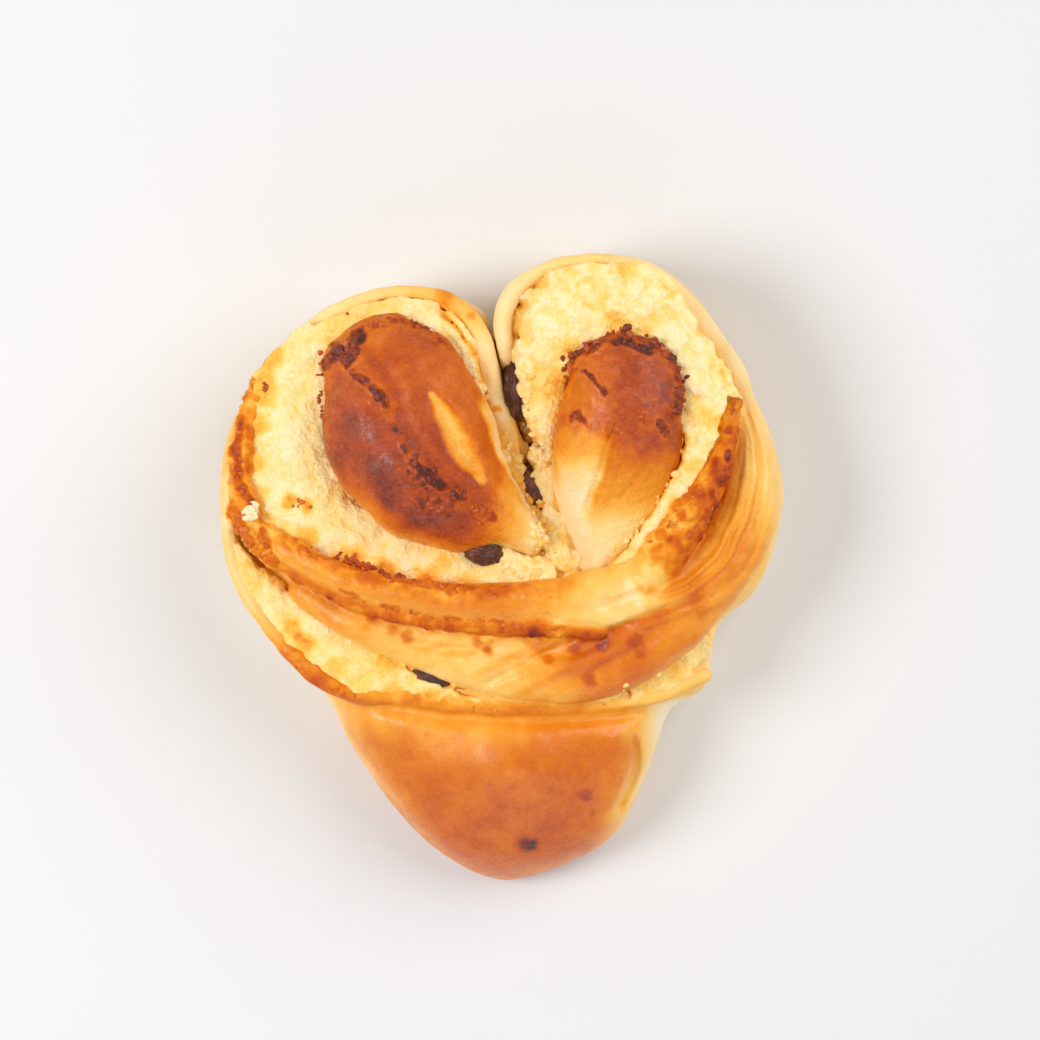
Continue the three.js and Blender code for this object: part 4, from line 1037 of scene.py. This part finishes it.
fill_dough = [strand for strand, _ in strands.values()] + [left_petal, right_petal]
outer_side = {"lip": -1, "left_rim": -1, "right_ridge": 1, "left_wall": 1, "right_wall": 1}
bare_share = {  # how much of a wall's inner half width stays bare of paste, along its length
    "lip": ((0, 0.8), (0.2, 0.55), (0.45, 0.4), (0.8, 0.5), (0.9, 0.1), (1, -0.2)),
    "left_rim": ((0, -0.2), (0.5, 0), (1, 0.2)),
    "right_ridge": ((0, 0.7), (0.4, 0.8), (1, 0.9)),
    "left_wall": ((0, 0.5), (0.4, 0.7), (1, 0.8)),
    "right_wall": ((0, 0.8), (0.4, 0.7), (0.56, 0.5), (0.61, -0.6), (0.69, -0.6), (0.75, 0.5), (1, 0.7)),
}
filling_rows = {  # stations, lean of the layer, how far its top banks up on its left side, how lumpy it is
    "filling_left": (LEFT_FILLING, 0.0, 0.0, 0.75),
    "filling_right": (RIGHT_FILLING, 0.0, 0.0, 1.25),
    "filling_outer": (OUTER_FILLING, 4.0, 1.2, 0.8),
}
TOASTED = [  # where the filling took colour: x, y, radius, change
    (-50.0, 37.5, 3.5, 0.3), (-51, 30, 3, 0.35), (-52.5, 22, 2.6, 0.3), (-51.5, 14, 3, 0.3),
    (-49, 7.5, 3.5, 0.25), (-44.5, 13.7, 2.0, 0.5), (-40.6, 12.6, 1.8, 0.45), (-41, 6, 3, 0.35),
    (-32, 1.5, 3, 0.4), (-24.5, -1, 3, 0.45), (-16, -3, 3, 0.45), (-8, -4, 3, 0.3), (-12, 1.2, 2, 0.25),
    (-29.6, 2.6, 2, 0.25), (-48, 43.5, 3.5, 0.2), (-24, 55, 5, 0.12), (-10, 53.5, 3, 0.2),
    (-47, -2, 3, 0.2), (-44, -13, 2.6, 0.3), (-41.5, -16.5, 2.4, 0.35), (-35, -21, 2.6, 0.25),
    (-24, -20.5, 2.6, 0.25), (-23, -26.5, 2.6, 0.25), (-15, -27, 2.2, 0.35), (-8, -27, 2, 0.3),
    (-52, -4, 2, 0.15), (5.5, 50, 3, 0.12), (12.8, 38.0, 3.6, 0.3), (12.4, 31, 2.4, 0.35),
    (14.6, 46, 2.6, 0.22), (24, 50.4, 3.5, 0.18), (41, 33, 3, 0.2), (45.5, 30, 2.4, 0.25),
    (40.5, 21, 3, 0.2), (36, 12, 2.5, 0.2), (26, 62.5, 3, 0.12), (28, -24, 2, 0.2), (37, -21.5, 3, 0.12),
    (47, 45, 4, 0.1), (2.6, 53.5, 3.6, 0.1), (4.6, 48.5, 3.0, 0.06), (7.5, 58.4, 3, 0.16),
    (13, 61, 3, 0.12), (12, 53, 4, -0.08), (-33, 51, 6, 0.1), (-49, 44, 4, 0.1),
]

# The paste's colour: its toast, mottled in patches, with painted shade added where it lies in a hollow, and
# fine flecks.
toast, entry, leave = new_group(
    "toasted_paste_with_painted_shade", {"Toast": "NodeSocketFloat", "Hollow_shade": "NodeSocketFloat"},
    {"Colour": "NodeSocketColor", "Height": "NodeSocketFloat"})
place = new_node(toast, "ShaderNodeTexCoord").outputs["Object"]
flecks = new_node(toast, "ShaderNodeTexVoronoi", {"Vector": place, "Scale": 1300.0}, feature="F1")
patches = maths(toast, "SUBTRACT", noise(toast, place, scale=330.0, detail=4.0, roughness=0.6), 0.5)
patchy = maths(toast, "MULTIPLY_ADD", patches, 0.12, entry.outputs["Toast"])
hollowed = maths(toast, "MULTIPLY_ADD", entry.outputs["Hollow_shade"], 0.22, patchy)
level = maths(toast, "MULTIPLY_ADD", flecks.outputs["Distance"], 0.15, hollowed, use_clamp=True)
colour = ramp(toast, level, [
    (0.00, rgb(255, 239, 200)), (0.16, rgb(255, 227, 158)), (0.32, rgb(255, 210, 110)),
    (0.52, rgb(253, 185, 64)), (0.66, rgb(238, 148, 42)), (0.82, rgb(196, 92, 36)), (1.00, rgb(106, 50, 30)),
])
toast.links.new(colour, leave.inputs["Colour"])
grain = noise(toast, place, scale=1900.0, detail=3.0, roughness=0.6)
height = maths(toast, "SUBTRACT", grain, flecks.outputs["Distance"])
toast.links.new(height, leave.inputs["Height"])

coconut, tree, shader = new_material("coconut_filling")
paste = new_node(tree, "ShaderNodeGroup", {
    "Toast": stored(tree, "toast"), "Hollow_shade": stored(tree, "hollow")}, node_tree=toast)
tree.links.new(paste.outputs["Colour"], shader.inputs["Base Color"])
grainy = bumped(tree, paste.outputs["Height"], strength=0.5, distance=0.0005)
tree.links.new(grainy, shader.inputs["Normal"])
shader.inputs["Roughness"].default_value = 0.66
shader.inputs["Subsurface Weight"].default_value = 0.12
shader.inputs["Subsurface Radius"].default_value = (1.0, 0.8, 0.5)
shader.inputs["Subsurface Scale"].default_value = 0.0012
shader.inputs["Specular IOR Level"].default_value = 0.35

for name, (rows, lean, bank, lumpy) in filling_rows.items():
    under_dough = [(x, y, 1.1 * w + 0.9, h) for x, y, w, h in rows]
    layer = Strand(under_dough, arch=4, fullness=0.45, foot=9, lean=lean, wobble=0.4, bank=bank)
    sx, sy = layer.window()
    sz = slice(*np.searchsorted(Z, (7, 42)))
    axes = (X[sx][:, None, None], Y[sy][None, :, None], Z[sz][None, None, :])
    low = np.array([X[sx][0], Y[sy][0], Z[sz][0]])
    low_bank = Strand(LOW_BANKS[name], arch=2.5, fullness=0.5, foot=20, wobble=0.6)
    paste_field = blend(layer.field(*axes), low_bank.field(*axes), 1.0)
    paste_field = crumbly(paste_field, axes, min(row[3] for row in rows) - 3, lumpy)
    for strand in fill_dough:
        solid = strand.field(*axes)
        paste_field = np.maximum(paste_field, -solid - 0.8)
    x, y = axes[0][..., 0], axes[1][..., 0]
    ragged = swell(x, y, 0, 2.6, 82) + 0.5 * swell(x, y, 0, 1.1, 83)
    paste_field = np.maximum(paste_field, (0.6 + 0.5 * ragged - loaf_inset(x, y))[..., None])
    for edge_name, bare in bare_share.items():
        edge = strands[edge_name][0]
        u, past, share, half, _ = edge.beside(x, y)
        bare_now = np.clip(edge.along(share, bare) + 0.35 * ragged, -1, 0.8)
        beside_wall = (past < 0.5) & (np.abs(u * half) < 4)
        kept_clear = np.where(beside_wall, half * (bare_now + outer_side[edge_name] * u), -9)[..., None]
        paste_field = np.maximum(paste_field, np.minimum(kept_clear, axes[2] - edge.foot))
    for floor_height, run in CRACKS:
        crack = flat_run(run, wobble=0.9)
        u, past, share, half, _ = crack.beside(x, y)
        gap = np.hypot(u * half, past) - half * (1 + 0.6 * swell(x, y, 0, 1.1, 80))
        paste_field = np.maximum(paste_field, -np.maximum(gap[..., None], floor_height - axes[2]))
    piece = skin("coconut_" + name, paste_field, low, filling_grain, most=180000)
    points = spots(piece)
    x, y, z = points.T
    level = 0.05 + 0.07 * swell(x, y, z, 5, 78) + 0.06 * swell(x, y, z, 11, 84)
    for _, run in CRACKS:
        crack = flat_run(run, wobble=0.9)
        u, past, share, half, _ = crack.beside(x, y)
        level = level + 0.36 * (1 - ease(0.3, 0.9, np.hypot(u * half, past)))
    for tx, ty, radius, change in TOASTED:
        gap = np.hypot(x - tx, y - ty) * (1 + 0.4 * swell(x, y, z, 1.8, 79)) / radius
        level = level + change * (1 - ease(0.35, 1.3, gap))
    large, small = lumps(x, y, z)
    # Painted shade: darker paste between the lumps and between the grains, and lower down in the layer.
    hollow = lumpy * (0.5 * ease(0.48, 0.85, large) + 0.4 * ease(0.45, 0.8, small)) + 0.4 * ease(33, 29, z)
    give(piece, toast=np.clip(level, 0, 1), hollow=np.clip(hollow, 0, 1))
    to_metres(piece)
    piece.data.materials.append(coconut)
    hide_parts(name)
    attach(piece, "root")

# =====================================================================================================
# The raisins. Four dark raisins show where the layers part, each a dried grape with a deeply wrinkled,
# slightly sticky skin.
# =====================================================================================================

RAISINS = {  # middle, half sizes, and how many degrees the long side is turned
    "raisin_cleft": ((3.1, 37.2, 28.4), (6.9, 3.0, 3.8), 93),
    "raisin_heart": ((6.6, 16.2, 27.2), (6.2, 3, 3.6), 115),
    "raisin_left": ((-3.7, 3, 34), (4.4, 3, 3), -12),
    "raisin_belt": ((-14.5, -23.2, 28.9), (5, 2.1, 2.4), -15),
}

raisin_skin, tree, shader = new_material("raisin_skin")
place = new_node(tree, "ShaderNodeTexCoord").outputs["Object"]
patches = noise(tree, place, scale=420.0, detail=5.0, roughness=0.6)
colour = ramp(tree, patches, [
    (0.25, rgb(46, 22, 16)), (0.5, rgb(84, 42, 28)), (0.68, rgb(126, 66, 42)), (0.85, rgb(160, 98, 66))])
tree.links.new(colour, shader.inputs["Base Color"])
tree.links.new(bumped(tree, patches, strength=0.5, distance=0.0004), shader.inputs["Normal"])
shader.inputs["Roughness"].default_value = 0.4
shader.inputs["Subsurface Weight"].default_value = 0.05
shader.inputs["Subsurface Scale"].default_value = 0.001


def corners(mesh):
    """The points at the corners of each triangle of a mesh."""
    return numbers(mesh.loops, "vertex_index", 1, np.int32).reshape(-1, 3)


def ball(levels):
    """Points and faces of a unit ball."""
    mesh = bpy.data.meshes.new("ball")
    made = bmesh.new()
    bmesh.ops.create_icosphere(made, subdivisions=levels, radius=1.0)
    made.to_mesh(mesh)
    made.free()
    points, faces = numbers(mesh.vertices, "co"), corners(mesh)
    bpy.data.meshes.remove(mesh)
    return points, faces


def rounded_piece(name, points, faces):
    mesh = mesh_from(name, points, faces)
    mesh.shade_smooth()
    return put_in(name, mesh)


def turned(points, degrees):
    c, s = np.cos(np.radians(degrees)), np.sin(np.radians(degrees))
    return points @ np.array([[c, s, 0], [-s, c, 0], [0, 0, 1]], np.float32)


unit, unit_faces = ball(6)
for seed, (name, (middle, half, turn)) in enumerate(RAISINS.items()):
    x, y, z = unit.T
    folds = np.abs(swell(x + 9 * seed, y * 1.6, z * 1.6, 0.42, 81 + seed))
    fine = np.abs(swell(x, y * 1.3 + 5 * seed, z * 1.3, 0.2, 91 + seed))
    size = 0.96 + 0.13 * (folds - 0.4) + 0.05 * (fine - 0.4) + 0.05 * swell(x, y, z, 0.9, 95 + seed)
    body = turned(unit * size[:, None] * np.array(half, np.float32), turn) + np.array(middle, np.float32)
    piece = rounded_piece("berry_" + name, body * METRES, unit_faces)
    piece.data.materials.append(raisin_skin)
    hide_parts(name)
    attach(piece, "root")

# =====================================================================================================
# Burnt crumbs. Bits of coconut filling that stuck out of the layers browned first and baked onto the
# crust, in rows along the ridges and in dark clusters on the petals.
# =====================================================================================================

burnt, tree, shader = new_material("burnt_crumbs")
tree.links.new(browned(tree, mottle=0.22, speckle=0.16), shader.inputs["Base Color"])
rough_skin = wrinkled(tree, wrinkle=1.0, pores=0.8)
tree.links.new(bumped(tree, rough_skin, strength=0.5, distance=0.0003), shader.inputs["Normal"])
shader.inputs["Roughness"].default_value = 0.5
shader.inputs["Subsurface Weight"].default_value = 0.04
shader.inputs["Subsurface Scale"].default_value = 0.001


def ray_target(piece):
    return BVHTree.FromPolygons([Vector(p) for p in spots(piece)], corners(piece.data).tolist())


surfaces = [ray_target(piece) for piece in bpy.context.scene.objects
            if piece.type == "MESH" and piece.name.startswith(("crust_", "coconut_"))]


def top_at(x, y):
    """Height of the bun's top at a spot of the plan, in mm."""
    above, down = Vector((x * METRES, y * METRES, 0.1)), Vector((0, 0, -1))
    hits = [surface.ray_cast(above, down)[0] for surface in surfaces]
    heights = [hit.z / METRES for hit in hits if hit is not None]
    return max(heights) if heights else None


def broken_bit(unit, x, y, random):
    """A knobbly ball that three flat breaks took a side off, different for each spot."""
    coarse = swell(unit[:, 0] + 3 * x, unit[:, 1] + 3 * y, unit[:, 2], 0.9, 101)[:, None]
    fine = swell(unit[:, 0] + 3 * x, unit[:, 1], unit[:, 2] + 3 * y, 0.4, 102)[:, None]
    bit = unit * (1 + 0.34 * coarse + 0.2 * fine)
    for _ in range(3):
        away = random.normal(size=3)
        away /= np.linalg.norm(away)
        beyond = bit @ away - (0.5 + 0.45 * random.random())
        bit = bit - np.clip(beyond, 0, None)[:, None] * away
    return bit


def crumbs(name, runs, material, levels, seed, sink, squash=0.8):
    """Crumbs strewn along runs. Each lies on the bun's top and is sunk by a share `sink` of its size."""
    random = np.random.default_rng(seed)
    unit, unit_faces = ball(levels)
    all_points, all_faces, all_levels = [], [], []
    for run, count, least, most, spread, level in runs:
        path = curve(run, step=0.3)
        for _ in range(count):
            x, y = path[int(random.random() * (len(path) - 1))] + spread * random.normal(size=2) * 0.6
            size = least + (most - least) * random.random() ** 1.8
            stretch = 0.85 + 0.7 * random.random(3)
            turn, shade = random.random() * 360, level - 0.05 + 0.05 * random.normal()
            z = top_at(float(x), float(y))
            if z is None:
                continue
            bit = broken_bit(unit, x, y, random) * stretch * size * np.array([1, 1, squash])
            all_faces.append(unit_faces + len(all_points) * len(unit))
            all_points.append(turned(bit, turn) + np.array([x, y, z - sink * size]))
            all_levels.append(np.full(len(unit), shade))
    piece = rounded_piece(name, np.vstack(all_points) * METRES, np.vstack(all_faces))
    shade = np.clip(np.concatenate(all_levels), 0, 1)
    give(piece, brown=shade, toast=shade, hollow=np.zeros(len(shade)))
    piece.data.materials.append(material)
    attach(piece, "root")


# Fewer and smaller than in BAKED_ON, because most of those crumbs are already part of the crust.
single = [(run, max(2, int(0.4 * count)), 0.9 * least, 0.85 * most, spread, level)
          for run, count, least, most, spread, level in BAKED_ON]
crumbs("burnt_crumbs", single, burnt, levels=2, seed=5, sink=0.45)

# Loose coconut: pale flakes and grains that fell into the gaps and never browned.
LOOSE_RUNS = [  # run over the plan, how many, smallest and largest radius, spread, toast
    ([(4.0, 19.5), (5.6, 16.2), (8.4, 11.0)], 22, 0.5, 1.1, 1.5, 0.5),
    ([(1.5, 27), (3.6, 22), (5.5, 17), (8, 12), (10, 7)], 50, 0.5, 1.2, 1.4, 0.26),
    ([(4.5, 30), (6.5, 25), (8.5, 20)], 24, 0.45, 1.0, 1.1, 0.22),
    ([(6, 8.5), (8.5, 5.5), (10.5, 2)], 26, 0.5, 1.1, 1.2, 0.22),
    ([(5.2, 33), (5.6, 38), (6, 44)], 14, 0.4, 0.9, 0.6, 0.22),
    ([(-3, 0.5), (3, -0.6), (9, -1.2)], 18, 0.4, 0.9, 0.9, 0.2),
    ([(22, 1.5), (28.5, 8.2), (33, 14.4), (37.6, 21)], 20, 0.35, 0.8, 0.8, 0.3),
    ([(24, -26.5), (32, -23.8), (39.5, -19)], 12, 0.35, 0.7, 1.4, 0.25),
]
crumbs("loose_coconut", LOOSE_RUNS, coconut, levels=2, seed=9, sink=0.35)
FLAKE_RUN = [([(-53.4, 10.8), (-51.4, 11.9), (-50.0, 11.2)], 16, 0.6, 1.2, 1.1, 0.0)]
crumbs("coconut_flake", FLAKE_RUN, coconut, levels=3, seed=11, sink=-0.2, squash=0.35)

# =====================================================================================================
# The floor, the light and the camera: a pale matt floor, a soft light from the left, two wider ones from
# the right and the front, and a bright surround, seen from straight above.
# =====================================================================================================

FLOOR_HALF = 2.0
floor_mesh = bpy.data.meshes.new("floor")
floor_corners = [(-FLOOR_HALF, -FLOOR_HALF, 0), (FLOOR_HALF, -FLOOR_HALF, 0), (FLOOR_HALF, FLOOR_HALF, 0),
                 (-FLOOR_HALF, FLOOR_HALF, 0)]
floor_mesh.from_pydata(floor_corners, [], [(0, 1, 2, 3)])
floor = put_in("floor", floor_mesh)
floor_paint, _, shader = new_material("floor_paint")
shader.inputs["Base Color"].default_value = rgb(227, 226, 226)
shader.inputs["Roughness"].default_value = 0.8
floor.data.materials.append(floor_paint)

LIT_SPOT = Vector((0, 0, 0.02))
LIGHTS = {  # place, width of the disk and power
    "key_light": ((-0.57, 0.0, 0.72), 0.46, 4.8),
    "right_light": ((0.8, 0.5, 0.9), 1.2, 9.4),
    "front_light": ((0.1, -1.0, 0.8), 1.2, 2.8),
}
for name, (place, width, power) in LIGHTS.items():
    lamp = bpy.data.lights.new(name, "AREA")
    lamp.shape = "DISK"
    lamp.size = width
    lamp.energy = power
    holder = put_in(name, lamp)
    holder.location = place
    holder.rotation_euler = (LIT_SPOT - Vector(place)).to_track_quat("-Z", "Y").to_euler()

world = bpy.data.worlds.new("surround")
world.use_nodes = True
sky = world.node_tree
direction = new_node(sky, "ShaderNodeTexCoord").outputs["Generated"]
aim = new_node(sky, "ShaderNodeSeparateXYZ", {"Vector": direction})
strength = new_node(sky, "ShaderNodeMapRange", {"Value": aim.outputs["Z"], "To Min": 0.85, "To Max": 0.12})
sky.links.new(strength.outputs["Result"], sky.nodes["Background"].inputs["Strength"])
sky.nodes["Background"].inputs["Color"].default_value = (1, 1, 1, 1)
bpy.context.scene.world = world
bpy.context.scene.view_settings.view_transform = "Standard"

VIEW_AT, VIEW_HEIGHT = (0.00393, 0.00977), 1.0
camera_data = bpy.data.cameras.new("camera")
camera_data.sensor_width = 36.0
camera_data.lens = 159.7
camera = put_in("camera", camera_data)
camera.location = (*VIEW_AT, VIEW_HEIGHT)
bpy.context.scene.camera = camera
